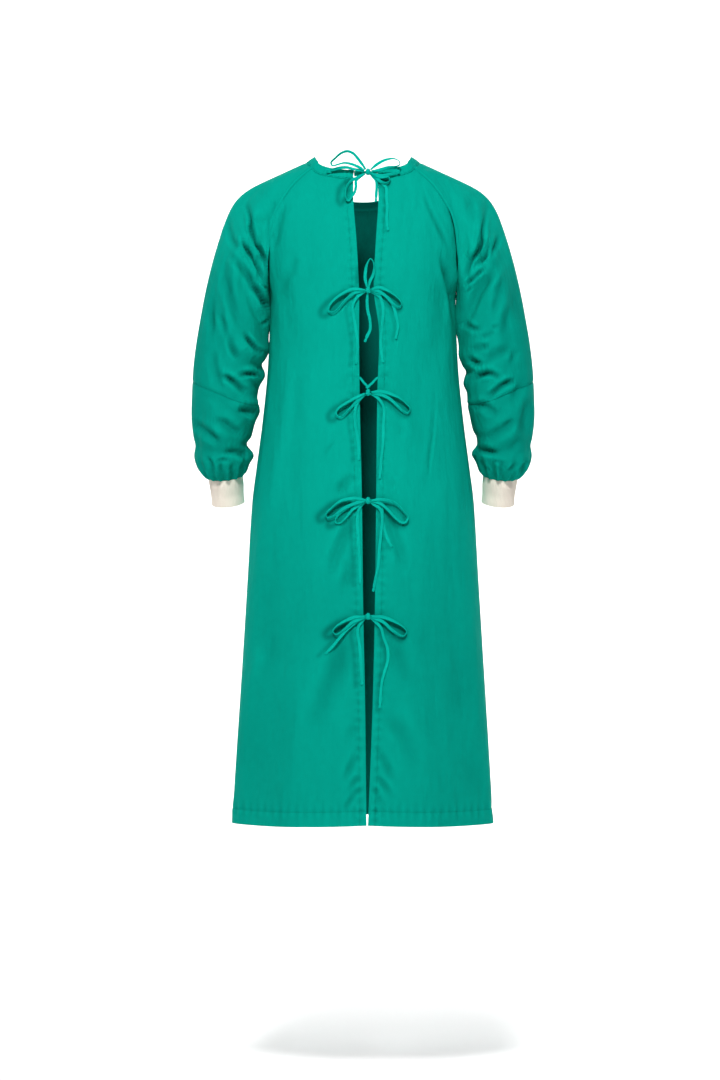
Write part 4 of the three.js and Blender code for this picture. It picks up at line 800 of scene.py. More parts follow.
FRONT_SLEEVE_CREASES = [
    (4, 3.4, 0.5, 0.3, [(246, 205), (250, 228), (258, 252), (266, 276)]),
    (6, 2.6, 0.4, 0, [(232, 236), (240, 262), (250, 286), (262, 304)]),
    (8, 2.4, 0.4, 0, [(220, 262), (224, 300), (232, 336)]),
    (4.6, 3.4, 0.5, 0, [(222, 372), (238, 378), (256, 376)]),
    (5, 3, 0.5, 0, [(214, 398), (228, 404), (248, 400)]),
    (6, 2.4, 0.4, 0, [(200, 425), (216, 434), (238, 432)]),
    (4.6, 3.6, 0.5, 0, [(212, 455), (228, 451), (244, 455)]),
    (4, 3.4, 0.5, -0.3, [(488, 208), (482, 232), (474, 256), (466, 278)]),
    (6, 2.6, 0.4, 0, [(500, 238), (492, 264), (480, 288), (470, 302)]),
    (8, 2.4, 0.4, 0, [(510, 264), (508, 302), (500, 336)]),
    (4.6, 3.4, 0.5, 0, [(474, 370), (490, 377), (508, 372)]),
    (5, 3, 0.5, 0, [(480, 400), (498, 404), (516, 396)]),
    (6, 2.4, 0.4, 0, [(488, 432), (506, 433), (524, 424)]),
    (4.6, 3.6, 0.5, 0, [(482, 454), (498, 451), (514, 456)]),
]
CONTOUR_FOLDS = {
    # For each side, rows of how far down the picture, how far out and half its height in mm
    -1: [(318, 7, 34), (350, 6, 17), (365, -4, 7), (376, 8, 13), (397, -2, 8), (411, 6, 14),
         (444, -4, 8), (456, 3, 8)],
    1: [(322, 7, 34), (356, 4, 14), (372, -4, 7), (384, 6, 13), (406, 2, 14), (437, -3, 8), (453, 4, 9)],
}
print("Creases:", sum(map(len, (SLEEVE_CREASES, BACK_CREASES, FRONT_CREASES, FRONT_SLEEVE_CREASES))))

# %% [markdown]
# ## Thin shells
#
# Cloth has two faces and a cut edge. Each piece is a grid of places with normals, moved half
# a thickness out and in, and closed along its edges. Its UV map is the cloth laid flat, in
# metres, so that the weave keeps one size all over. A painted shade is kept at each point as
# well. It is below zero in creases, along stitches, behind the bows, low on the skirt, on the
# sleeves below the shoulder and on the inside, and the colour is painted darker there as shade.

# %% Make a mesh out of a grid
CLOTH_THICK = 1.1
# Painted shade on the inner face of every shell: the inside is coloured much darker.
INSIDE_SHADE = -7.0


def add_object(name, points, faces, sharp=None):
    """An object whose mesh has these points, in millimetres, and these faces."""
    mesh = bpy.data.meshes.new(name)
    mesh.from_pydata((np.asarray(points) / 1000).tolist(), [], faces)
    mesh.polygons.foreach_set("use_smooth", np.ones(len(mesh.polygons), bool))
    if sharp:
        mesh.set_sharp_from_angle(angle=math.radians(sharp))
    made = bpy.data.objects.new(name, mesh)
    bpy.context.scene.collection.objects.link(made)
    return made


def set_uv(mesh, corner_values):
    layer = mesh.uv_layers.new(name="cloth")
    layer.data.foreach_set("uv", np.asarray(corner_values, np.float32).ravel())


def set_painted_shade(mesh, values):
    layer = mesh.attributes.new("painted_shade", "FLOAT", "POINT")
    layer.data.foreach_set("value", np.asarray(values, np.float32))


def flat_places(points, is_tube):
    """Where each place of a grid lies on the flat cloth, in metres across and along."""
    closed = np.concatenate([points, points[:, :1]], axis=1) if is_tube else points
    across = np.cumsum(length_of(np.diff(closed, axis=1))[..., 0], axis=1)
    across = np.concatenate([np.zeros((len(points), 1)), across], axis=1)
    across = across - across.mean(axis=1, keepdims=True)
    along = np.cumsum(length_of(np.diff(closed, axis=0))[..., 0].mean(axis=1))
    along = np.concatenate([[0], along])[:, None]
    return np.stack(np.broadcast_arrays(across, along), -1) / 1000


def add_shell(name, points, normals, thick, is_tube, painted_shade=None):
    """A closed thin piece of cloth on a grid of places."""
    rows, columns = points.shape[:2]
    spans = columns if is_tube else columns - 1
    count = rows * columns
    row, span = np.meshgrid(np.arange(rows - 1), np.arange(spans), indexing="ij")
    row, span = row.ravel(), span.ravel()
    after = (span + 1) % columns
    a, b = row * columns + span, row * columns + after
    c, d = b + columns, a + columns
    outer = np.stack([a, b, c, d], -1)
    inner = np.stack([d, c, b, a], -1) + count
    flat = flat_places(points, is_tube)
    corners = np.stack([flat[row, span], flat[row, span + 1], flat[row + 1, span + 1],
                        flat[row + 1, span]], 1)
    faces = [outer, inner]
    places = [corners, corners[:, ::-1]]

    def close(first, second, first_flat, second_flat):
        faces.append(np.stack([first, second, second + count, first + count], -1))
        places.append(np.stack([first_flat, second_flat, second_flat, first_flat], 1))

    edge = np.arange(spans)
    next_edge = (edge + 1) % columns
    last = (rows - 1) * columns
    close(next_edge, edge, flat[0, edge + 1], flat[0, edge])
    close(last + edge, last + next_edge, flat[-1, edge], flat[-1, edge + 1])
    if not is_tube:
        low = np.arange(rows - 1) * columns
        up = np.arange(rows - 1)
        close(low, low + columns, flat[up, 0], flat[up + 1, 0])
        end = low + columns - 1
        close(end + columns, end, flat[up + 1, -1], flat[up, -1])
    faces = np.concatenate(faces)
    places = np.concatenate(places)
    both = np.concatenate([points + normals * thick / 2, points - normals * thick / 2])
    both = both.reshape(-1, 3)
    corner = both[faces]
    volume = (corner[:, 0] * np.cross(corner[:, 1], corner[:, 2])).sum()
    volume += (corner[:, 0] * np.cross(corner[:, 2], corner[:, 3])).sum()
    if volume < 0:
        faces = faces[:, ::-1]
        places = places[:, ::-1]
    made = add_object(name, both, faces.tolist(), sharp=55)
    set_uv(made.data, places)
    if painted_shade is not None:
        # The inner face takes the painted shade of the inside.
        set_painted_shade(made.data, np.concatenate([painted_shade.ravel(), np.full(count, INSIDE_SHADE)]))
    return made


def area_of(points, is_tube):
    """The area of a grid of places, in square metres."""
    closed = np.concatenate([points, points[:, :1]], axis=1) if is_tube else points
    across = closed[:-1, 1:] - closed[:-1, :-1]
    along = closed[1:, :-1] - closed[:-1, :-1]
    return float(length_of(np.cross(across, along)).sum()) / 1e6


def place_piece(piece, slot, *nodes):
    """The piece rides on the gown, stands for its CAD nodes and takes a slot's finish."""
    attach(piece, "root")
    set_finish(piece, slot)
    if nodes:
        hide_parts(*nodes)
    return piece


# %% [markdown]
# ## The backs and the front
#
# Each back is cut with a straight edge at the opening, turned under twice and stitched 12 mm
# in. Its hem is turned up 26 mm. Stitching draws the cloth in a little, so both rows leave a
# shallow groove, and the band between the stitches and the edge puckers. The bows stand off
# the cloth, so a soft shade lies behind each tape and a little to its outer side.

# %% Make the body's panels
BACK_COLUMNS = 92
BACK_SKIRT_ROWS = 270
BACK_YOKE_ROWS = 78
FRONT_COLUMNS = 116
FRONT_SKIRT_ROWS = 170
FRONT_YOKE_ROWS = 46
CROWD_TO_HEM = 1.15
CROWD_TO_OPENING = 1.25
HEM_STITCH = 26
EDGE_STITCH = 12
BACK_GAIN = 1.7
FRONT_GAIN = 1.8
UNDER_BINDING = 5.6


def panel_rows(neck_top, skirt_rows, yoke_rows):
    """Each row's height at its seam end and, over the underarm, its share of the way up."""
    climb = np.linspace(0, 1, skirt_rows, endpoint=False) ** CROWD_TO_HEM
    skirt = mix(HEM_HEIGHT, UNDERARM_HEIGHT, climb)
    up = np.linspace(0, 1, yoke_rows + 1)
    seam = np.concatenate([skirt, mix(UNDERARM_HEIGHT, neck_top, up)])
    return seam[:, None], np.concatenate([np.zeros(skirt_rows), up])[:, None]


def back_grid(side):
    """Places and normals of a back panel, from the opening's edge to the seam."""
    edge_name = "right" if side > 0 else "left"
    share = np.linspace(0, 1, BACK_COLUMNS + 1)[None, :] ** CROWD_TO_OPENING
    seam, up = panel_rows(BACK_NECK["top"], BACK_SKIRT_ROWS, BACK_YOKE_ROWS)
    top_edge = read(OPENING, "height", edge_name, BACK_NECK["low"])
    top = neck_height(BACK_NECK, mix(top_edge, side * BACK_NECK["across"], share))
    hem = HEM_RISE_AT_OPENING * (1 - share) ** 4 * smooth(-900, HEM_HEIGHT, seam)
    height = np.where(up > 0, mix(UNDERARM_HEIGHT, top, up), seam + hem)
    edge = angle_at(read(OPENING, "height", edge_name, height), height)
    angle = mix(edge, side * seam_angle(BACK_RAGLAN, seam), share)
    return body_place(angle, height)


def front_grid():
    share = np.linspace(1, -1, FRONT_COLUMNS + 1)[None, :]
    seam, up = panel_rows(FRONT_NECK["top"], FRONT_SKIRT_ROWS, FRONT_YOKE_ROWS)
    top = neck_height(FRONT_NECK, share * FRONT_NECK["across"])
    height = np.where(up > 0, mix(UNDERARM_HEIGHT, top, up), seam + 0 * share)
    return body_place(math.pi - share * seam_angle(FRONT_RAGLAN, seam), height)


def pull_back(points, column, neighbour):
    """Moves one column of a grid back from its seam by half of the seam's gap."""
    away = unit(points[:, neighbour] - points[:, column])
    points[:, column] += away * SEAM_GAP / 2


def stitched_band(distance, along, band, spacing):
    """The relief of a turned and stitched edge: a groove at the stitches, puckers beside it."""
    groove = -1.1 * np.exp(-((distance - band) / 1.7) ** 2)
    fold = 0.6 * (1 - smooth(band - 2, band + 1.5, distance))
    uneven = np.sin(2 * math.pi * along / spacing + 1.3 * np.sin(along / (2.3 * spacing)))
    pucker = 1.1 * uneven * np.exp(-((distance - band) / (0.55 * band)) ** 2)
    return groove + fold + pucker


def seam_groove(distance):
    """Two pieces roll into their seam, so a narrow valley runs along it."""
    return -1.3 * np.exp(-(distance / 1.9) ** 2)


def line_at(distance, band, points, normals):
    """The line over a grid where a distance, which grows along each row, reaches a band."""
    line = [[np.interp(band, far, row[:, axis]) for axis in range(3)] for far, row in zip(distance, points)]
    out = [[np.interp(band, far, row[:, axis]) for axis in range(3)] for far, row in zip(distance, normals)]
    out = unit(np.array(out))
    return np.array(line) + out * CLOTH_THICK / 2, out


# Painted shade: the colour is darkened towards the hem, in the seams' grooves and behind the bows.
LOW_SHADE = 1.6
SEAM_SHADE = 0.55
SHADE_STEP = 2.0
LOW_SHADE_FROM, LOW_SHADE_TO = -450, -850
EDGE_PUCKERS = 17
HEM_PUCKERS = 14
BOW_SHADES = {
    # For a loop and for a tail: how far out and up its shade lies, its half width and its depth
    True: (5, -5.5, 6, 4.2),
    False: (3, -3, 4, 2.4),
}


def bow_shade(points):
    """How dark the cloth is behind the bows, which stand off it and keep light away."""
    spots = points[..., [0, 2]].reshape(-1, 2)
    shade = np.zeros(len(spots))
    for _, knot_height, strands in TIES:
        for _, is_loop, _, route in strands:
            out, up, half, dark = BOW_SHADES[is_loop]
            path = [(across + math.copysign(out, across), knot_height + high + up, 0)
                    for across, high in route]
            path = even_steps(np.array(path, float), SHADE_STEP)[:, :2]
            inside = (spots > path.min(0) - 3 * half) & (spots < path.max(0) + 3 * half)
            near = np.flatnonzero(inside.all(axis=1))
            if not len(near):
                continue
            gaps = length_of(spots[near, None] - path[None])[..., 0].min(axis=1)
            shade[near] = np.maximum(shade[near], dark * np.exp(-(gaps / half) ** 2))
    return shade.reshape(points.shape[:-1])


stitch_lines = []
panels = {}
for side, name in ((-1, "back_left"), (1, "back_right")):
    points, normals = back_grid(side)
    pull_back(points, -1, -2)
    from_edge = np.abs(points[..., 0] - points[:, :1, 0])
    from_hem = points[..., 2] - points[:1, :, 2]
    relief, sharp = press(points, normals, BACK_CREASES, BACK_FACING, BACK_GAIN)
    seams = stitched_band(from_edge, points[..., 2], EDGE_STITCH, EDGE_PUCKERS)
    seams += stitched_band(from_hem, points[..., 0], HEM_STITCH, HEM_PUCKERS)
    seams += seam_groove(length_of(points - points[:, -1:])[..., 0])
    seams += seam_groove(length_of(points - points[-1:])[..., 0] - UNDER_BINDING)
    relief += seams
    moved = points + normals * relief[..., None]
    # Painted shade, added to the creases' shade: darker towards the hem, in the seams' grooves and behind the
    # bows.
    skirt_shade = LOW_SHADE * smooth(LOW_SHADE_FROM, LOW_SHADE_TO, points[..., 2])
    sharp += SEAM_SHADE * seams - bow_shade(points) - skirt_shade
    panels[name] = (moved, normals, sharp)
    stitch_lines.append(line_at(from_edge, EDGE_STITCH, moved, normals))
    stitch_lines.append(line_at(from_hem.T, HEM_STITCH, moved.swapaxes(0, 1), normals.swapaxes(0, 1)))
points, normals = front_grid()
pull_back(points, 0, 1)
pull_back(points, -1, -2)
relief, sharp = press(points, normals, FRONT_CREASES, FRONT_FACING, FRONT_GAIN)
from_hem = points[..., 2] - HEM_HEIGHT
seams = stitched_band(from_hem, points[..., 0], HEM_STITCH, HEM_PUCKERS)
for column in (0, -1):
    seams += seam_groove(length_of(points - points[:, column][:, None])[..., 0])
seams += seam_groove(length_of(points - points[-1:])[..., 0] - UNDER_BINDING)
relief += seams
moved = points + normals * relief[..., None]
# The front's creases and seams are painted darker as shade.
panels["front"] = (moved, normals, sharp + seams)
stitch_lines.append(line_at(from_hem.T, HEM_STITCH, moved.swapaxes(0, 1), normals.swapaxes(0, 1)))

bodies = {}
for name, (points, normals, sharp) in panels.items():
    bodies[name] = place_piece(add_shell(f"{name}_cloth", points, normals, CLOTH_THICK, False, sharp),
                               "gown_cloth", name)
    print(name, "cloth:", round(area_of(points, False), 3), "square metres")

# %% [markdown]
# ## The sleeves
#
# The sleeve is two pieces, joined by a seam across the elbow. Its cloth is gathered where it
# meets the cuff. Creases cross the seam, so both pieces take theirs from one list. The cap is
# smoothed over the shoulder, and below it the cloth is a little deeper in shade than the back.

# %% Make the sleeves
NECK_COLUMNS = 22
BACK_SEAM_COLUMNS = 112
FRONT_SEAM_COLUMNS = 54
UPPER_ARM_ROWS = 58
CAP_ROWS = 96
FOREARM_ROWS = 82
SLEEVE_GAIN = 2.4
SLEEVE_SPREAD = 1.2
SLEEVE_SHADE = 2.2
SLEEVE_SHADE_FROM, SLEEVE_SHADE_TO = -110, -250
SHOULDER_ROUNDS = 90
INNER_SIDE = 176
TOP_STITCH = 5


def sleeve_turns():
    neck = np.linspace(-NECK_SHARE, NECK_SHARE, NECK_COLUMNS, endpoint=False)
    back = np.linspace(NECK_SHARE, 180, BACK_SEAM_COLUMNS, endpoint=False)
    front = np.linspace(180, 360 - NECK_SHARE, FRONT_SEAM_COLUMNS, endpoint=False)
    return np.concatenate([neck, back, front])[None, :]


def elbow_height(degrees):
    return ELBOW_MIDDLE + ELBOW_RISE * np.cos(np.radians(degrees))


def contour_relief(points, side):
    """Folds that stand out from the sleeve's inner side, and notches between them."""
    down = to_photo(points)[1]
    total = 0
    for at, out, half in CONTOUR_FOLDS[side]:
        total = total + out * np.exp(-((down - at) * PIXEL / half) ** 2)
    return total * np.exp(-(turned(turns - INNER_SIDE) / 40) ** 2)


def smooth_shoulder(points, normals, rows):
    """The cap turns a sharp corner where neck and raglan seam meet, and cloth rounds it off."""
    turn = turned(turns)
    share = smooth(2, 20, np.abs(turn)) * (1 - smooth(60, 100, np.abs(turn))) * smooth(-250, -190, rows)
    share = (share * (1 - smooth(-90, -68, rows)))[..., None]
    eased = points.copy()
    for _ in range(SHOULDER_ROUNDS):
        around = (np.roll(eased, 1, axis=1) + np.roll(eased, -1, axis=1)) / 2
        above = eased.copy()
        above[1:-1] = (eased[2:] + eased[:-2]) / 2
        eased = eased + share * ((around + above) / 2 - eased)
    across = np.roll(eased, -1, axis=1) - np.roll(eased, 1, axis=1)
    facing = unit(np.cross(across, np.gradient(eased, axis=0)))
    facing = facing * np.sign((facing * normals).sum())
    return eased, unit(mix(normals, facing, smooth(-250, -190, rows)[..., None]))


turns = sleeve_turns()
elbow = elbow_height(turns)
arm_share = np.linspace(0, 1, UPPER_ARM_ROWS, endpoint=False)[:, None]
arm_rows = mix(elbow + SEAM_GAP / 2, float(ARMHOLE_HEIGHT), arm_share)
cap_rows = ARMHOLE_HEIGHT + CAP_LONG * np.linspace(0, 1, CAP_ROWS + 1)[:, None] + 0 * turns
forearm_share = np.linspace(0, 1, FOREARM_ROWS + 1)[:, None] ** 1.15
SLEEVE_PIECES = {
    "upper_sleeve": np.concatenate([arm_rows, cap_rows]),
    "forearm_sleeve": mix(float(WRIST_HEIGHT), elbow - SEAM_GAP / 2, forearm_share),
}
sleeves = {}
sleeve_necks = {}
for piece_name, rows in SLEEVE_PIECES.items():
    right_points, right_normals = sleeve_place(turns, rows)
    is_upper = piece_name == "upper_sleeve"
    if is_upper:
        right_points, right_normals = smooth_shoulder(right_points, right_normals, rows)
    for side, side_name in ((-1, "left"), (1, "right")):
        mirror = np.array([side, 1, 1])
        points, normals = right_points * mirror, right_normals * mirror
        relief, sharp = press(points, normals, SLEEVE_CREASES, BACK_FACING, SLEEVE_GAIN,
                              SLEEVE_SPREAD)
        front_relief, front_sharp = press(points, normals, FRONT_SLEEVE_CREASES, FRONT_FACING, SLEEVE_GAIN)
        relief += front_relief + contour_relief(points, side)
        seams = seam_groove(rows - elbow)
        if is_upper:
            from_top = length_of(points - points[-1:])[..., 0]
            from_top[:, :NECK_COLUMNS] -= UNDER_BINDING
            seams += seam_groove(from_top)
        top = ARMHOLE_HEIGHT + CAP_LONG
        relief = relief * (1 - 0.75 * smooth(top - 22, top - 3, rows)) + seams
        # Painted shade: the sleeves' colour is darkened in their creases and seams, and below the shoulder.
        sharp += front_sharp + seams
        sharp -= SLEEVE_SHADE * smooth(SLEEVE_SHADE_FROM, SLEEVE_SHADE_TO, points[..., 2])
        name = f"{piece_name}_{side_name}"
        moved = points + normals * relief[..., None]
        sleeves[name] = place_piece(add_shell(f"{name}_cloth", moved, normals, CLOTH_THICK, True, sharp),
                                    "gown_cloth", name)
        if is_upper:
            sleeve_necks[side] = moved[:, :NECK_COLUMNS]
            from_seam = length_of(points - points[-1:])[::-1, NECK_COLUMNS:, 0].T
            seam_points = moved[::-1, NECK_COLUMNS:].swapaxes(0, 1)
            seam_normals = normals[::-1, NECK_COLUMNS:].swapaxes(0, 1)
            stitch_lines.append(line_at(from_seam, TOP_STITCH, seam_points, seam_normals))
            from_elbow = (rows - elbow)[:30].T
            low_points = moved[:30].swapaxes(0, 1)
            stitch_lines.append(line_at(from_elbow, TOP_STITCH, low_points, normals[:30].swapaxes(0, 1)))
        print(name, "cloth:", round(area_of(points, True), 3), "square metres")

# %% [markdown]
# ## The knit cuffs
#
# A cuff is a tube of rib knit. Its ribs run along the arm and let it stretch, so it is a grid
# with a wave across it, fine enough for each rib to have a crown and a furrow. The cuff is
# soft, so a few wide dents keep it from looking turned on a lathe.

# %% Make the cuffs
CUFF_THICK = 2
CUFF_LONG = 50
CUFF_ROWS = 24
RIBS = 64
COLUMNS_TO_A_RIB = 5
RIB_HIGH = 0.22
CUFF_DENTS = [(60, 12, 1.6, 50, 9), (115, 30, -1.4, 40, 11), (200, 20, 1.5, 46, 12), (265, 36, -1.2, 60, 9),
              (320, 14, 1.2, 50, 12), (90, 44, 0.9, 60, 7)]


def cuff_grid():
    axis, across, back = sleeve_axes(np.array(float(WRIST_HEIGHT)))
    degrees = np.arange(RIBS * COLUMNS_TO_A_RIB)[None, :] * 360 / (RIBS * COLUMNS_TO_A_RIB)
    down = np.linspace(CUFF_LONG, 0, CUFF_ROWS + 1)[:, None]
    turn = np.radians(degrees) + 0 * down
    wide = read(CUFF, "down", "halfAcross", down)
    deep = read(CUFF, "down", "halfDeep", down)
    normals = unit(across * (np.cos(turn) * deep)[..., None] + back * (np.sin(turn) * wide)[..., None])
    points = (sleeve_middle(np.array(float(WRIST_HEIGHT))) - axis * (down + SEAM_GAP + 0 * turn)[..., None]
              + across * (np.cos(turn) * wide)[..., None] + back * (np.sin(turn) * deep)[..., None])
    relief = RIB_HIGH * np.cos(turn * RIBS) * smooth(0, 2.5, down)
    for at_turn, at_down, out, round_wide, long in CUFF_DENTS:
        aside = turned(degrees - at_turn) / round_wide
        relief = relief + out * np.exp(-aside * aside * 4 - ((down - at_down) / long) ** 2)
    return points + normals * relief[..., None], normals, relief


cuffs = {}
points, normals, relief = cuff_grid()
for side, side_name in ((-1, "left"), (1, "right")):
    mirror = np.array([side, 1, 1])
    name = f"cuff_{side_name}"
    # The cuff's outside gets no painted shade; its inside takes the painted shade of the inside.
    no_painted_shade = np.zeros_like(relief)
    shell = add_shell(f"{name}_knit", points * mirror, normals * mirror, CUFF_THICK, True, no_painted_shade)
    cuffs[name] = place_piece(shell, "cuff_knit", name)
print("Cuff ribs:", RIBS, "round", round(2 * math.pi * 32), "mm")

# %% [markdown]
# ## The bound neck
#
# A strip of the same cloth is folded over the raw neckline and stitched through. It stands up
# a little at the nape and lies flatter over the shoulders. Its outside is crowned, its top is
# a fold, and the stitches near its lower edge pull small puckers into it.

# %% Make the neck binding
BINDING_WIDE = 13
BINDING_THICK = 2.8
BINDING_GAP = 0.8
BINDING_LAP = 4.5
BINDING_STITCH = -1.8
BINDING_ROWS = 16
BINDING_LEAN = table("turn inward up", [
    (0, 0.36, 0.93), (60, 0.66, 0.75), (90, 0.82, 0.57), (120, 0.66, 0.75), (180, 0.45, 0.89),
])


def binding_rise(points):
    """How the binding leans off the cloth's edge."""
    turn = np.degrees(np.abs(np.arctan2(points[..., 0], -points[..., 1])))
    inward = read(BINDING_LEAN, "turn", "inward", turn)
    up = read(BINDING_LEAN, "turn", "up", turn)
    flat = unit(points * np.array([-1, -1, 0]))
    return unit(flat * inward[..., None] + np.array([0, 0, 1]) * up[..., None])


def neck_strip(grid):
    """The top edge of a piece of cloth and, for each of its places, the way down the cloth."""
    return np.stack([grid[-1], unit(grid[-4] - grid[-1])])


def neck_edge():
    """The neckline, from the opening's right edge round to its left edge."""
    strips = [neck_strip(panels["back_right"][0]), neck_strip(sleeve_necks[1][:, 1:])[:, ::-1],
              neck_strip(panels["front"][0]), neck_strip(sleeve_necks[-1][:, 1:]),
              neck_strip(panels["back_left"][0])[:, ::-1]]
    return np.concatenate(strips, axis=1)


edge, down = neck_edge()
keep = np.concatenate([[True], length_of(np.diff(edge, axis=0))[:, 0] > 0.6])
edge, down = edge[keep], down[keep]
along = unit(np.gradient(edge, axis=0))
rise = binding_rise(edge)
high = np.linspace(-BINDING_LAP, BINDING_GAP + BINDING_WIDE, BINDING_ROWS + 1)[:, None]
bend = np.sqrt(high * high + 4)
points = edge + rise * ((bend + high) / 2)[..., None] + down * ((bend - high) / 2)[..., None]
normals = unit(np.cross(along, np.gradient(points, axis=0)))
run = np.cumsum(length_of(np.gradient(edge, axis=0))[:, 0])[None, :]
share = (high - high[0]) / (high[-1] - high[0])
in_stitches = np.exp(-((high - BINDING_STITCH) / 1.1) ** 2)
pucker = 0.25 * np.sin(2 * math.pi * run / 8 + np.sin(run / 21)) * (1 - share)
relief = 0.5 * np.sin(math.pi * share) - 0.5 * in_stitches + pucker
moved = points + normals * relief[..., None]
# Painted shade along the binding's stitches: the colour is darkened in their groove.
binding = add_shell("neck_binding_cloth", moved, normals, BINDING_THICK, False, relief - 2 * in_stitches)
place_piece(binding, "gown_cloth", "neck_binding")
stitched_row = int(np.abs(high[:, 0] - BINDING_STITCH).argmin())
stitch_lines.append((moved[stitched_row] + normals[stitched_row] * BINDING_THICK / 2, normals[stitched_row]))
print("Neck binding:", round(float(run[0, -1])), "mm long")

# %% [markdown]
# ## Tying the bows
#
# The tape is a strip folded in on itself and stitched down its middle, so its section is two
# soft edges with a dip between them. It is swept along each route with a slow twist: a tape
# lies flat beside its knot and turns on edge where a loop bends. Its free end is knotted, so
# that it doesn't fray.

# %% Sweep a tape along a route
TAPE_WIDE = 5.6
TAPE_WIDE_AT_KNOT = 3.4
TAPE_TAPER = 14
TAPE_SWEEP_STEP = 1.7
TAPE_SECTION = [(-0.5, 0), (-0.47, 0.55), (-0.36, 0.95), (-0.2, 0.9), (0, 0.5), (0.2, 0.9), (0.36, 0.95),
                (0.47, 0.55), (0.5, 0), (0.47, -0.55), (0.36, -0.95), (0.2, -0.9), (0, -0.5), (-0.2, -0.9),
                (-0.36, -0.95), (-0.47, -0.55)]
SEEN_FROM = np.array([0.0, -1.0, 0.0])


def tape_parts(points, across, wide, thick, first_index=0):
    """Points, faces and flat places of a tape along points, its width lying across."""
    section = np.array(TAPE_SECTION)
    tangent = unit(np.gradient(points, axis=0))
    across = unit(across - tangent * (across * tangent).sum(-1, keepdims=True))
    up = np.cross(across, tangent)
    rings = (points[:, None] + across[:, None] * (section[:, 0] * wide[:, None])[..., None]
             + up[:, None] * (section[:, 1] * thick[:, None] / 2)[..., None])
    count = len(section)
    ring, corner = np.meshgrid(np.arange(len(points) - 1), np.arange(count), indexing="ij")
    ring, corner = ring.ravel(), corner.ravel()
    a = first_index + ring * count + corner
    b = first_index + ring * count + (corner + 1) % count
    faces = np.stack([a, b, b + count, a + count], -1).tolist()
    last = first_index + (len(points) - 1) * count
    faces += [[first_index + i for i in reversed(range(count))], [last + i for i in range(count)]]
    run = np.concatenate([[0], np.cumsum(length_of(np.diff(points, axis=0))[:, 0])]) / 1000
    lane = np.arange(count + 1) * 2 * TAPE_WIDE / count / 1000
    flat = [np.stack([lane[corner], run[ring]], -1), np.stack([lane[corner + 1], run[ring]], -1),
            np.stack([lane[corner + 1], run[ring + 1]], -1), np.stack([lane[corner], run[ring + 1]], -1)]
    flat = np.stack(flat, 1).reshape(-1, 2)
    return rings.reshape(-1, 3), faces, np.vstack([flat, np.zeros((2 * count, 2))])


def add_tapes(name, parts):
    """One object out of several swept tapes."""
    mesh_points, mesh_faces, mesh_flat = [], [], []
    for points, across, wide, thick in parts:
        first = sum(len(chunk) for chunk in mesh_points)
        rings, faces, flat = tape_parts(points, across, wide, thick, first)
        mesh_points.append(rings)
        mesh_faces += faces
        mesh_flat.append(flat)
    made = add_object(name, np.vstack(mesh_points), mesh_faces, sharp=70)
    set_uv(made.data, np.vstack(mesh_flat))
    return made


def twisted_across(points, twist):
    """The way a tape's width lies: flat to the back, turned about its run by a twist in degrees."""
    tangent = unit(np.gradient(points, axis=0))
    flat = unit(np.cross(tangent, SEEN_FROM))
    up = np.cross(flat, tangent)
    turn = np.radians(twist)[:, None]
    return flat * np.cos(turn) + up * np.sin(turn)


def sweep_strand(route, is_loop, number):
    """A bow's strand: pinched at the knot, twisting on its way, knotted at a free end."""
    points = even_steps(route, TAPE_SWEEP_STEP)
    long = float(length_of(np.diff(points, axis=0)).sum())
    run = np.linspace(0, long, len(points))
    left = long - run
    near = np.minimum(run, left) if is_loop else run
    wide = mix(TAPE_WIDE_AT_KNOT, TAPE_WIDE, smooth(0, TAPE_TAPER, near))
    thick = mix(2.2, 1.45, smooth(0, TAPE_TAPER, near))
    share = run / long
    if is_loop:
        way = 1 if number % 2 else -1
        twist = 64 * way * np.sin(math.pi * share) ** 2 + 14 * np.sin(9 * share + number)
    else:
        twist = 34 * np.sin(5.2 * share + 1.7 * number) * smooth(0, 0.2, share)
        knot = np.exp(-((left - 3.2) / 1.5) ** 2)
        wide = wide * (1 - 0.42 * np.exp(-((left - 6.5) / 1.6) ** 2)) * mix(1, 0.72, smooth(3, 0, left))
        thick = thick + 2.1 * knot
        wide = mix(wide, 4.6, 0.8 * knot)
    return points, (points, twisted_across(points, twist), wide, thick), long


strand_number = 0
bows = {}
for tie_name, knot_height, strands in TIES:
    for strand_name, is_loop, lifts, _ in strands:
        node = f"{tie_name}_{strand_name}"
        strand_number += 1
        points, part, long = sweep_strand(routes[node], is_loop, strand_number)
        piece = place_piece(add_tapes(f"{node}_tape", [part]), "tie_tape", node)
        bows[node] = piece
        print(node, round(long), "mm", end="; ")
print()

# %% Knots and leads
LEAD_WIDE = 4.4
LEAD_WIDE_AT_BINDING = 10
LEAD_UNDER = 12
LEAD_LIFT = -2.25
LEAD_REACH = 2.6
CROSSED_RISE = 26
KNOT_WRAPS = [(8, 1.0, 4.4, 0), (-38, 0.93, 4.2, 0.6), (52, 0.86, 3.8, -0.6)]


def knot_part(knot_height, tilt, size, wide, aside):
    """One wrap of tape round the knot: down its face and back up behind it."""
    turn = np.linspace(-0.5, 2 * math.pi - 0.1, 44)
    lean = math.radians(tilt)
    middle = over_back(KNOT_ACROSS, knot_height, KNOT["lift"])
    upright = KNOT["tall"] * size * np.sin(turn)
    out = KNOT["deep"] * size * np.cos(turn)
    wander = aside + 0.5 * np.sin(turn * 0.5)
    points = np.stack([middle[0] + upright * math.sin(lean) + wander, middle[1] - out * 1.02,
                       middle[2] + upright * math.cos(lean)], -1)
    across = np.stack([np.full_like(turn, math.cos(lean)), 0 * turn,
                       np.full_like(turn, -math.sin(lean))], -1)
    return points, across, wide + 0.5 * np.sin(2 * turn), np.full_like(turn, 1.7)


def back_neck_middle(across):
    """The middle of the binding's width over a place on the back neckline."""
    height = neck_height(BACK_NECK, across)
    point = body_point(angle_at(across, height), height)
    return point + binding_rise(point) * (BINDING_GAP + BINDING_WIDE / 2)


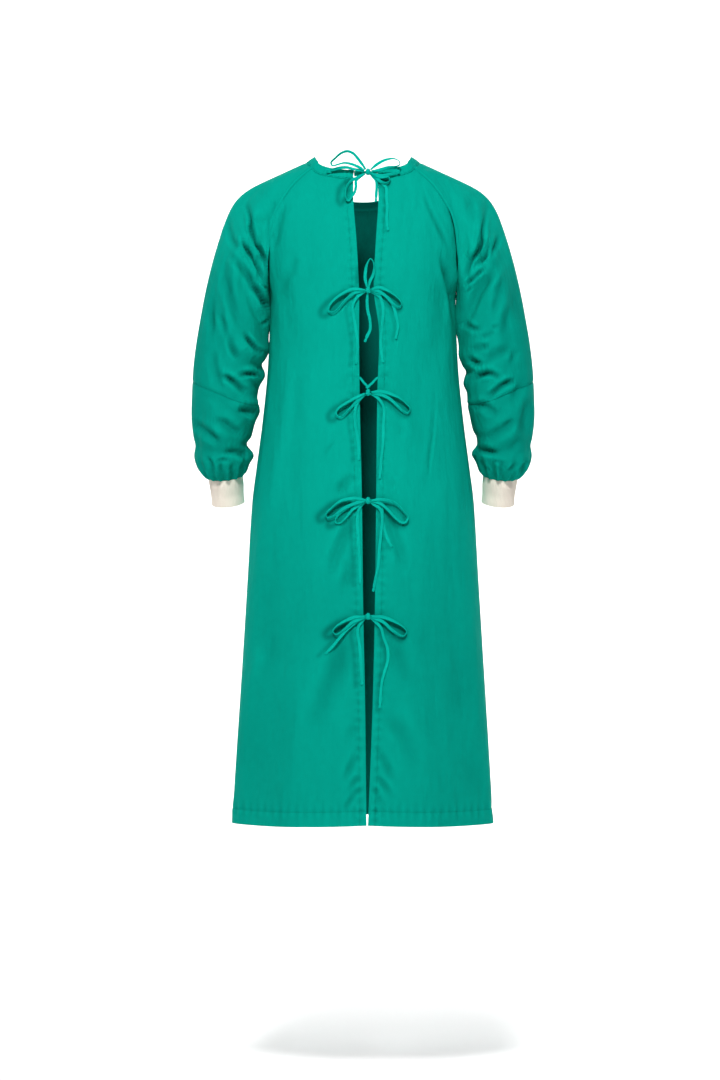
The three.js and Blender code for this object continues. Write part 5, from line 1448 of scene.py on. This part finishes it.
def lead_route(tie_name, knot_height, side):
    """From the stitches under the opening's edge to the knot."""
    is_crossed = tie_name == "tie3"
    height = knot_height + (CROSSED_RISE if is_crossed else 0)
    edge_at = float(read(OPENING, "height", "right" if side > 0 else "left", height))
    sunk = KNOT["deep"] * math.sqrt(1 - (LEAD_REACH / KNOT["across"]) ** 2)
    end = over_back(KNOT_ACROSS + side * LEAD_REACH, knot_height, KNOT["lift"] - sunk - 1.4)
    if tie_name == "tie1":
        start = back_neck_middle(edge_at - side * 0.5)
        return [start, mix(start, end, 0.3), mix(start, end, 0.7), end]
    sewn = [over_back(edge_at + side * under, height, LEAD_LIFT) for under in (LEAD_UNDER, 4, -0.5)]
    if not is_crossed:
        return [*sewn, end]
    across = KNOT_ACROSS - side * LEAD_REACH
    top = over_back(across, knot_height + KNOT["tall"] + 1.8, 9.6 if side > 0 else 6.2)
    half = over_back(mix(edge_at, across, 0.5), mix(height, top[2], 0.5), 5.4 if side > 0 else 1.4)
    return [*sewn, half, top]


for tie_name, knot_height, strands in TIES:
    wraps = [knot_part(knot_height, *wrap) for wrap in KNOT_WRAPS]
    place_piece(add_tapes(f"{tie_name}_knot_tape", wraps), "tie_tape", f"{tie_name}_knot")
    for side, side_name in ((-1, "left"), (1, "right")):
        points = even_steps(np.array(lead_route(tie_name, knot_height, side)), TAPE_SWEEP_STEP)
        share = np.linspace(0, 1, len(points))
        start_wide = LEAD_WIDE_AT_BINDING if tie_name == "tie1" else LEAD_WIDE
        wide = mix(start_wide, LEAD_WIDE, smooth(0, 0.8, share))
        across = np.tile([0.0, 0, 1], (len(points), 1))
        if tie_name == "tie3":
            across = twisted_across(points, 0 * share)
        node = f"{tie_name}_lead_{side_name}"
        piece = add_tapes(f"{node}_tape", [(points, across, wide, 1.5 + 0 * share)])
        place_piece(piece, "tie_tape", node)
print("Knots:", len(TIES), "leads:", 2 * len(TIES))

# %% [markdown]
# ## Stitches
#
# Lockstitch is a row of short threads that dive into the cloth at both ends. Each is a grain
# with two ends and four sides, and all of them are one mesh. They hold the hem, the opening's
# edges, the binding, the raglan seams and the elbow seams, and a small box of them holds each
# lead of a tie.

# %% Boxes of stitches over the leads
BOX_FROM = 3
BOX_TALL = 3.6
NECK_BOX = (-32, -23, -62, -44)
BOX_LIFT = 1.3


def box_line(left, right, low, high):
    """A stitched box with its cross, on the backs."""
    corners = [(left, low), (right, low), (right, high), (left, high), (left, low), (right, high)]
    share = np.linspace(0, 1, 12, endpoint=False)[:, None]
    run = [mix(np.array(a, float), np.array(b, float), share) for a, b in zip(corners, corners[1:])]
    across, height = np.concatenate(run).T
    place, normal = body_place(angle_at(across, height), height)
    return place + normal * BOX_LIFT, normal


stitch_lines.append(box_line(*NECK_BOX))
for tie_name, knot_height, strands in TIES[1:]:
    height = knot_height + (CROSSED_RISE if tie_name == "tie3" else 0)
    for side, side_name in ((-1, "left"), (1, "right")):
        edge_at = float(read(OPENING, "height", side_name, height))
        ends = sorted((edge_at + side * BOX_FROM, edge_at + side * LEAD_UNDER))
        stitch_lines.append(box_line(*ends, height - BOX_TALL, height + BOX_TALL))

# %% Make the stitches
STITCH_STEP = 3.4
STITCH_LONG = 2.6
STITCH_HALF = 0.38
GRAIN_FACES = np.array([(0, 3, 2), (0, 4, 3), (0, 5, 4), (0, 2, 5), (1, 2, 3), (1, 3, 4), (1, 4, 5),
                        (1, 5, 2)])


def stitches_along(points, normals):
    """For each stitch along a line, its two ends and its four sides."""
    run = np.concatenate([[0], np.cumsum(length_of(np.diff(points, axis=0))[:, 0])])
    start = np.arange(0.4, run[-1] - STITCH_LONG, STITCH_STEP)

    def at(values, where):
        return np.stack([np.interp(where, run, values[:, axis]) for axis in range(3)], -1)

    first, last = at(points, start), at(points, start + STITCH_LONG)
    out = unit(at(normals, start + STITCH_LONG / 2))
    middle = at(points, start + STITCH_LONG / 2) + out * 0.12
    side = unit(np.cross(out, last - first)) * STITCH_HALF
    up = out * STITCH_HALF
    return np.stack([first, last, middle + side, middle + up, middle - side, middle - up], 1)


grains = np.concatenate([stitches_along(*line) for line in stitch_lines])
grain_faces = (GRAIN_FACES + 6 * np.arange(len(grains))[:, None, None]).reshape(-1, 3)
stitches = add_object("stitches", grains.reshape(-1, 3), grain_faces.tolist())
place_piece(stitches, "gown_cloth")
print("Stitches:", len(grains))

# %% [markdown]
# ## Weave, knit and shade as node groups
#
# Three fabrics share their effects, so each effect is a node group, built once. One makes
# threads out of the flat cloth's map, one lays slow stains of lighter and darker dye over
# it and paints shade into creases, between threads and on the inside, and one adds the
# crumple that is too fine to be pressed into the mesh.

# %% Node helpers


def new_group(name, inputs, outputs):
    """A shader node group with named sockets and their starting values."""
    group = bpy.data.node_groups.new(name, "ShaderNodeTree")
    for socket_name, kind, value in inputs:
        socket = group.interface.new_socket(socket_name, in_out="INPUT", socket_type=kind)
        if value is not None:
            socket.default_value = value
    for socket_name, kind in outputs:
        group.interface.new_socket(socket_name, in_out="OUTPUT", socket_type=kind)
    return group, group.nodes.new("NodeGroupInput"), group.nodes.new("NodeGroupOutput")


def set_input(tree, node, key, value):
    """A node's input gets another node's output or a plain value."""
    if isinstance(value, bpy.types.NodeSocket):
        tree.links.new(value, node.inputs[key])
    else:
        node.inputs[key].default_value = value


def add_math(tree, operation, *values):
    node = tree.nodes.new("ShaderNodeMath")
    node.operation = operation
    for index, value in enumerate(values):
        set_input(tree, node, index, value)
    return node.outputs[0]


def add_noise(tree, vector, scale, detail, roughness):
    node = tree.nodes.new("ShaderNodeTexNoise")
    set_input(tree, node, "Vector", vector)
    set_input(tree, node, "Scale", scale)
    node.inputs["Detail"].default_value = detail
    node.inputs["Roughness"].default_value = roughness
    return node.outputs["Fac"]


def add_mix(tree, share, first, second):
    node = tree.nodes.new("ShaderNodeMix")
    node.data_type = "RGBA"
    set_input(tree, node, 0, share)
    set_input(tree, node, 6, first)
    set_input(tree, node, 7, second)
    return node.outputs[2]


def add_range(tree, value, low, high, new_low, new_high):
    node = tree.nodes.new("ShaderNodeMapRange")
    for index, item in enumerate((value, low, high, new_low, new_high)):
        set_input(tree, node, index, item)
    return node.outputs[0]


# %% Threads that cross over and under
FLOAT = "NodeSocketFloat"
COLOR = "NodeSocketColor"
VECTOR = "NodeSocketVector"

weave, weave_in, weave_out = new_group(
    "Woven threads",
    [("Flat Cloth", VECTOR, None), ("Threads to a Metre", FLOAT, 1300.0), ("Uneven", FLOAT, 0.4)],
    [("Height", FLOAT), ("Thread", FLOAT)])
split = weave.nodes.new("ShaderNodeSeparateXYZ")
set_input(weave, split, 0, weave_in.outputs["Flat Cloth"])
turns_round = add_math(weave, "MULTIPLY", weave_in.outputs["Threads to a Metre"], math.pi)
warp = add_math(weave, "SINE", add_math(weave, "MULTIPLY", split.outputs["X"], turns_round))
weft = add_math(weave, "SINE", add_math(weave, "MULTIPLY", split.outputs["Y"], turns_round))
crossing = add_math(weave, "MULTIPLY", warp, weft)
slub = add_noise(weave, weave_in.outputs["Flat Cloth"], 420.0, 2.0, 0.6)
thread = add_math(weave, "MULTIPLY_ADD", crossing, 0.5, 0.5)
uneven = add_math(weave, "MULTIPLY", add_math(weave, "SUBTRACT", slub, 0.5), weave_in.outputs["Uneven"])
height = add_math(weave, "ADD", thread, uneven)
set_input(weave, weave_out, "Height", height)
set_input(weave, weave_out, "Thread", thread)

# %% Loops of a rib knit
knit, knit_in, knit_out = new_group(
    "Rib knit",
    [("Flat Cloth", VECTOR, None), ("Wales to a Metre", FLOAT, 640.0), ("Courses to a Metre", FLOAT, 700.0)],
    [("Height", FLOAT), ("Furrow", FLOAT)])
split = knit.nodes.new("ShaderNodeSeparateXYZ")
set_input(knit, split, 0, knit_in.outputs["Flat Cloth"])
across = add_math(knit, "MULTIPLY", split.outputs["X"],
                  add_math(knit, "MULTIPLY", knit_in.outputs["Wales to a Metre"], 2 * math.pi))
wale = add_math(knit, "COSINE", across)
lean = add_math(knit, "MULTIPLY", add_math(knit, "ABSOLUTE", add_math(knit, "SINE", across)), 1.6)
course = add_math(knit, "MULTIPLY_ADD", split.outputs["Y"],
                  add_math(knit, "MULTIPLY", knit_in.outputs["Courses to a Metre"], 2 * math.pi), lean)
loop = add_math(knit, "SINE", course)
height = add_math(knit, "MULTIPLY_ADD", loop, 0.3, add_math(knit, "MULTIPLY", wale, 0.7))
set_input(knit, knit_out, "Height", height)
set_input(knit, knit_out, "Furrow", add_range(knit, wale, -1.0, 0.4, 1.0, 0.0))

# %% Slow stains of lighter and darker dye, and painted shade
SHADE_STARTS_AT = -0.5
SHADE_FULL_AT = -7.6
SHADE_AT_FULL = 0.97
THREAD_SHADE = 0.14

dye_and_shade, dye_and_shade_in, dye_and_shade_out = new_group(
    "Dye and painted shade",
    [("Place", VECTOR, None), ("Color", COLOR, (0.5, 0.5, 0.5, 1)), ("Deep Color", COLOR, (0.4, 0.4, 0.4, 1)),
     ("Scale", FLOAT, 6.0), ("Amount", FLOAT, 0.3), ("Depth", FLOAT, 0.0), ("Thread", FLOAT, 0.5)],
    [("Color", COLOR), ("Stain", FLOAT)])
broad = add_noise(dye_and_shade, dye_and_shade_in.outputs["Place"], dye_and_shade_in.outputs["Scale"], 3.0, 0.55)
fine_scale = add_math(dye_and_shade, "MULTIPLY", dye_and_shade_in.outputs["Scale"], 14.0)
fine = add_noise(dye_and_shade, dye_and_shade_in.outputs["Place"], fine_scale, 2.0, 0.6)
stain = add_math(dye_and_shade, "MULTIPLY_ADD", fine, 0.35, add_math(dye_and_shade, "MULTIPLY", broad, 0.65))
stain = add_range(dye_and_shade, stain, 0.3, 0.7, 0.0, 1.0)
# Painted shade: the colour goes towards the deep colour in creases, seams, behind the bows, low on the skirt,
# on the sleeves and on the inside.
painted_shade_share = add_range(dye_and_shade, dye_and_shade_in.outputs["Depth"], SHADE_STARTS_AT, SHADE_FULL_AT, 0.0, SHADE_AT_FULL)
# Painted shade between the threads, and in the knit's furrows.
beside_thread = add_math(dye_and_shade, "SUBTRACT", 1.0, dye_and_shade_in.outputs["Thread"])
thread_shade = add_math(dye_and_shade, "MULTIPLY", beside_thread, THREAD_SHADE)
share = add_math(dye_and_shade, "MULTIPLY", stain, dye_and_shade_in.outputs["Amount"])
share = add_math(dye_and_shade, "ADD", add_math(dye_and_shade, "ADD", share, painted_shade_share), thread_shade)
shade_share = dye_and_shade.nodes.new("ShaderNodeClamp")
set_input(dye_and_shade, shade_share, 0, share)
color = add_mix(dye_and_shade, shade_share.outputs[0], dye_and_shade_in.outputs["Color"], dye_and_shade_in.outputs["Deep Color"])
set_input(dye_and_shade, dye_and_shade_out, "Color", color)
set_input(dye_and_shade, dye_and_shade_out, "Stain", stain)

# %% Fine crumple
crumple, crumple_in, crumple_out = new_group(
    "Crumple",
    [("Place", VECTOR, None), ("Scale", FLOAT, 14.0), ("Stretch", VECTOR, (1.5, 1.5, 0.4))],
    [("Height", FLOAT)])
stretched = crumple.nodes.new("ShaderNodeVectorMath")
stretched.operation = "MULTIPLY"
set_input(crumple, stretched, 0, crumple_in.outputs["Place"])
set_input(crumple, stretched, 1, crumple_in.outputs["Stretch"])
large = add_noise(crumple, stretched.outputs[0], crumple_in.outputs["Scale"], 2.0, 0.45)
small_scale = add_math(crumple, "MULTIPLY", crumple_in.outputs["Scale"], 5.0)
small = add_noise(crumple, stretched.outputs[0], small_scale, 2.0, 0.5)
set_input(crumple, crumple_out, "Height",
          add_math(crumple, "MULTIPLY_ADD", small, 0.18, large))
print("Node groups:", [group.name for group in bpy.data.node_groups])

# %% [markdown]
# ## The fabrics
#
# Theatre cloth is dyed a deep teal and has next to no gloss: a wide, weak sheen at most. Its
# color holds almost no red, so its gloss is kept very low, or white light would wash it out.
# The tape is the same cloth, folded, and the cuff is undyed cotton.

# %% Make the fabrics' materials
# The deep colours serve both the darker stains and the painted shade.
CLOTH_COLOR = (0.0008, 0.42, 0.318, 1)
CLOTH_DEEP = (0.0004, 0.13, 0.1, 1)
# The tape is the gown's cloth, coloured lighter as painted light.
TAPE_COLOR = (0.002, 0.52, 0.405, 1)
TAPE_DEEP = (0.0006, 0.2, 0.15, 1)
# The thread's own green, coloured darker than the cloth as painted shade of the dips it sinks into.
THREAD_COLOR = (0.001, 0.3, 0.23, 1)
THREAD_DEEP = (0.0006, 0.16, 0.12, 1)
KNIT_COLOR = (1.0, 0.9, 0.785, 1)
KNIT_DEEP = (0.82, 0.74, 0.63, 1)


def add_group(tree, group, **values):
    node = tree.nodes.new("ShaderNodeGroup")
    node.node_tree = group
    for key, value in values.items():
        set_input(tree, node, key.replace("_", " "), value)
    return node


def add_bump(tree, height, distance, strength, normal=None):
    node = tree.nodes.new("ShaderNodeBump")
    set_input(tree, node, "Height", height)
    node.inputs["Distance"].default_value = distance
    node.inputs["Strength"].default_value = strength
    if normal is not None:
        set_input(tree, node, "Normal", normal)
    return node.outputs[0]


def start_material(name, roughness, specular, sheen):
    """A material with its shader, the flat cloth's map and the place in the gown."""
    material = bpy.data.materials.new(name)
    material.use_nodes = True
    tree = material.node_tree
    shader = tree.nodes["Principled BSDF"]
    shader.inputs["Roughness"].default_value = roughness
    shader.inputs["Specular IOR Level"].default_value = specular
    shader.inputs["Sheen Weight"].default_value = sheen
    shader.inputs["Sheen Roughness"].default_value = 0.5
    shader.inputs["Sheen Tint"].default_value = (0.05, 0.75, 0.6, 1)
    coordinates = tree.nodes.new("ShaderNodeTexCoord")
    return material, tree, shader, coordinates.outputs["UV"], coordinates.outputs["Object"]


def painted_shade_of(tree):
    node = tree.nodes.new("ShaderNodeAttribute")
    node.attribute_name = "painted_shade"
    return node.outputs["Fac"]


def make_cloth(name, color, deep, threads, crumple_high, stain_scale):
    material, tree, shader, flat, place = start_material(name, 0.86, 0.01, 0.015)
    woven = add_group(tree, weave, Flat_Cloth=flat, Threads_to_a_Metre=threads)
    dyed_and_shaded = add_group(tree, dye_and_shade, Place=place, Color=color, Deep_Color=deep, Scale=stain_scale,
                     Amount=0.14, Depth=painted_shade_of(tree), Thread=woven.outputs["Thread"])
    crumpled = add_group(tree, crumple, Place=place)
    soft = add_bump(tree, crumpled.outputs["Height"], crumple_high, 1.0)
    set_input(tree, shader, "Normal", add_bump(tree, woven.outputs["Height"], 0.00006, 0.6, soft))
    set_input(tree, shader, "Base Color", dyed_and_shaded.outputs["Color"])
    set_input(tree, shader, "Roughness", add_range(tree, dyed_and_shaded.outputs["Stain"], 0.0, 1.0, 0.82, 0.94))
    return material


gown_cloth = make_cloth("Gown cloth", CLOTH_COLOR, CLOTH_DEEP, 1300.0, 0.009, 5.0)
tie_tape = make_cloth("Tie tape", TAPE_COLOR, TAPE_DEEP, 1700.0, 0.0006, 30.0)

cuff_knit, tree, shader, flat, place = start_material("Cuff knit", 0.92, 0.05, 0.1)
shader.inputs["Sheen Tint"].default_value = (1, 0.95, 0.85, 1)
ribs = add_group(tree, knit, Flat_Cloth=flat)
# Painted shade in the rib furrows: the knit is coloured darker there.
rib_tops = add_math(tree, "SUBTRACT", 1.0, ribs.outputs["Furrow"])
dyed_and_shaded = add_group(tree, dye_and_shade, Place=place, Color=KNIT_COLOR, Deep_Color=KNIT_DEEP, Scale=9.0,
                 Amount=0.1, Depth=painted_shade_of(tree), Thread=rib_tops)
crumpled = add_group(tree, crumple, Place=place, Scale=30.0)
soft = add_bump(tree, crumpled.outputs["Height"], 0.002, 0.6)
set_input(tree, shader, "Normal", add_bump(tree, ribs.outputs["Height"], 0.0002, 0.5, soft))
set_input(tree, shader, "Base Color", dyed_and_shaded.outputs["Color"])
set_input(tree, shader, "Roughness", add_range(tree, dyed_and_shaded.outputs["Stain"], 0.0, 1.0, 0.88, 0.97))

thread_cotton, tree, shader, flat, place = start_material("Sewing thread", 0.8, 0.02, 0.02)
strands_seen = add_noise(tree, place, 900.0, 2.0, 0.6)
set_input(tree, shader, "Base Color", add_mix(tree, strands_seen, THREAD_COLOR, THREAD_DEEP))
set_input(tree, shader, "Normal", add_bump(tree, strands_seen, 0.0002, 0.6))
set_input(tree, shader, "Roughness", add_range(tree, strands_seen, 0.3, 0.7, 0.7, 0.9))

FINISHES = {"gown_cloth": gown_cloth, "tie_tape": tie_tape, "cuff_knit": cuff_knit}
pieces = [made for made in bpy.context.scene.objects if made.type == "MESH" and "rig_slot" in made]
for piece in pieces:
    piece.data.materials.append(FINISHES[piece["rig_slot"]])
stitches.data.materials[0] = thread_cotton
for slot_entry in frame["record"]["subparts"]:
    node_mesh = frame["nodes"][slot_entry["node"]].data
    node_mesh.materials.clear()
    node_mesh.materials.append(FINISHES[slot_entry["material_slot"]])
print("Dressed pieces:", len(pieces))

# %% [markdown]
# ## What each piece of cloth was cut from
#
# Each piece of cloth is a sheet. Its cut is as wide and as long as the flat piece on the
# cutting table, all the way round for a tube, and its area leaves out what is cut away at the
# neck, the armholes and the taper of the skirt and the sleeves.

SHEETS = [
    # piece, width, length, area, how it is held, what it rests on
    (bodies["front"], 0.62, 1.17, 0.63, "hung", ["neck_binding_cloth"]),
    (bodies["back_left"], 0.31, 1.18, 0.31, "hung", ["neck_binding_cloth"]),
    (bodies["back_right"], 0.31, 1.18, 0.30, "hung", ["neck_binding_cloth"]),
]
for side_name in ("left", "right"):
    SHEETS += [
        (sleeves[f"upper_sleeve_{side_name}"], 0.54, 0.42, 0.15, "draped", ["neck_binding_cloth"]),
        (sleeves[f"forearm_sleeve_{side_name}"], 0.42, 0.18, 0.055, "gathered",
         [f"upper_sleeve_{side_name}_cloth"]),
        (cuffs[f"cuff_{side_name}"], 0.2, 0.05, None, "stretched", [f"forearm_sleeve_{side_name}_cloth"]),
    ]
print("Sheets:", len(SHEETS) + 1)

# %% [markdown]
# ## The studio
#
# The photograph has a white ground and soft light from the front and above. A pale floor that
# curves up behind the gown gives the same. One lamp lights the gown, a weak one fills its
# shade, one hangs above, and two light the ground behind it.

# %% Floor and light
FLOOR_AT = -1.66
FLOOR_HALF = 9.0
FLOOR_BACK = 5.0
CURVE_RADIUS = 2.5

profile = [(-12.0, FLOOR_AT), (FLOOR_BACK - CURVE_RADIUS, FLOOR_AT)]
for step in range(1, 13):
    turn = math.pi / 2 * step / 12
    profile.append((FLOOR_BACK - CURVE_RADIUS + CURVE_RADIUS * math.sin(turn),
                    FLOOR_AT + CURVE_RADIUS * (1 - math.cos(turn))))
profile.append((FLOOR_BACK, 7.0))
floor_points = [(side * FLOOR_HALF * 1000, y * 1000, z * 1000) for y, z in profile for side in (-1, 1)]
floor_faces = [(2 * i, 2 * i + 1, 2 * i + 3, 2 * i + 2) for i in range(len(profile) - 1)]
floor = add_object("floor", floor_points, floor_faces)
floor_paint, tree, shader, _, place = start_material("Floor paint", 0.8, 0.1, 0)
shade = add_range(tree, add_noise(tree, place, 1.5, 3.0, 0.5), 0.3, 0.7, 0.0, 1.0)
set_input(tree, shader, "Base Color", add_mix(tree, shade, (0.93, 0.93, 0.93, 1), (0.9, 0.9, 0.9, 1)))
# From behind, the ground is clear, so that the gown can be seen from all sides
behind = tree.nodes.new("ShaderNodeNewGeometry").outputs["Backfacing"]
set_input(tree, shader, "Alpha", add_math(tree, "SUBTRACT", 1.0, behind))
floor.data.materials.append(floor_paint)

LAMPS = [
    # name, place, aims at, size, watts
    ("key", (-0.35, -4.4, 3.0), (0, 0, -0.4), 0.8, 268),
    ("fill", (2.4, -5.4, 0.2), (0, 0, -0.6), 2.2, 6),
    ("top", (0, 0.3, 3.4), (0, 0, -0.5), 2.0, 10),
    ("ground_left", (-3.5, 2.6, 1.5), (-1.5, 5, -0.5), 3.0, 230),
    ("ground_right", (3.5, 2.6, 1.5), (1.5, 5, -0.5), 3.0, 230),
]
for name, at, aim, size, watts in LAMPS:
    lamp = bpy.data.lights.new(name, "AREA")
    lamp.shape = "DISK"
    lamp.size = size
    lamp.energy = watts
    holder = bpy.data.objects.new(name, lamp)
    holder.location = at
    way = np.array(aim, float) - np.array(at, float)
    way /= np.linalg.norm(way)
    holder.rotation_euler = (math.acos(-way[2]), 0, math.atan2(way[1], way[0]) - math.pi / 2)
    bpy.context.scene.collection.objects.link(holder)

world = bpy.data.worlds.new("sky")
bpy.context.scene.world = world
world.use_nodes = True
world.node_tree.nodes["Background"].inputs["Color"].default_value = (1, 1, 1, 1)
world.node_tree.nodes["Background"].inputs["Strength"].default_value = 0.05
bpy.context.scene.view_settings.view_transform = "Standard"
print("Lamps:", len(LAMPS))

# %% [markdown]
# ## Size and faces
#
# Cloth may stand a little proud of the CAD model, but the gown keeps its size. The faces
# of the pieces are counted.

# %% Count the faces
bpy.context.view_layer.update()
faces = sum(len(piece.data.polygons) for piece in pieces)
print("Faces:", faces)
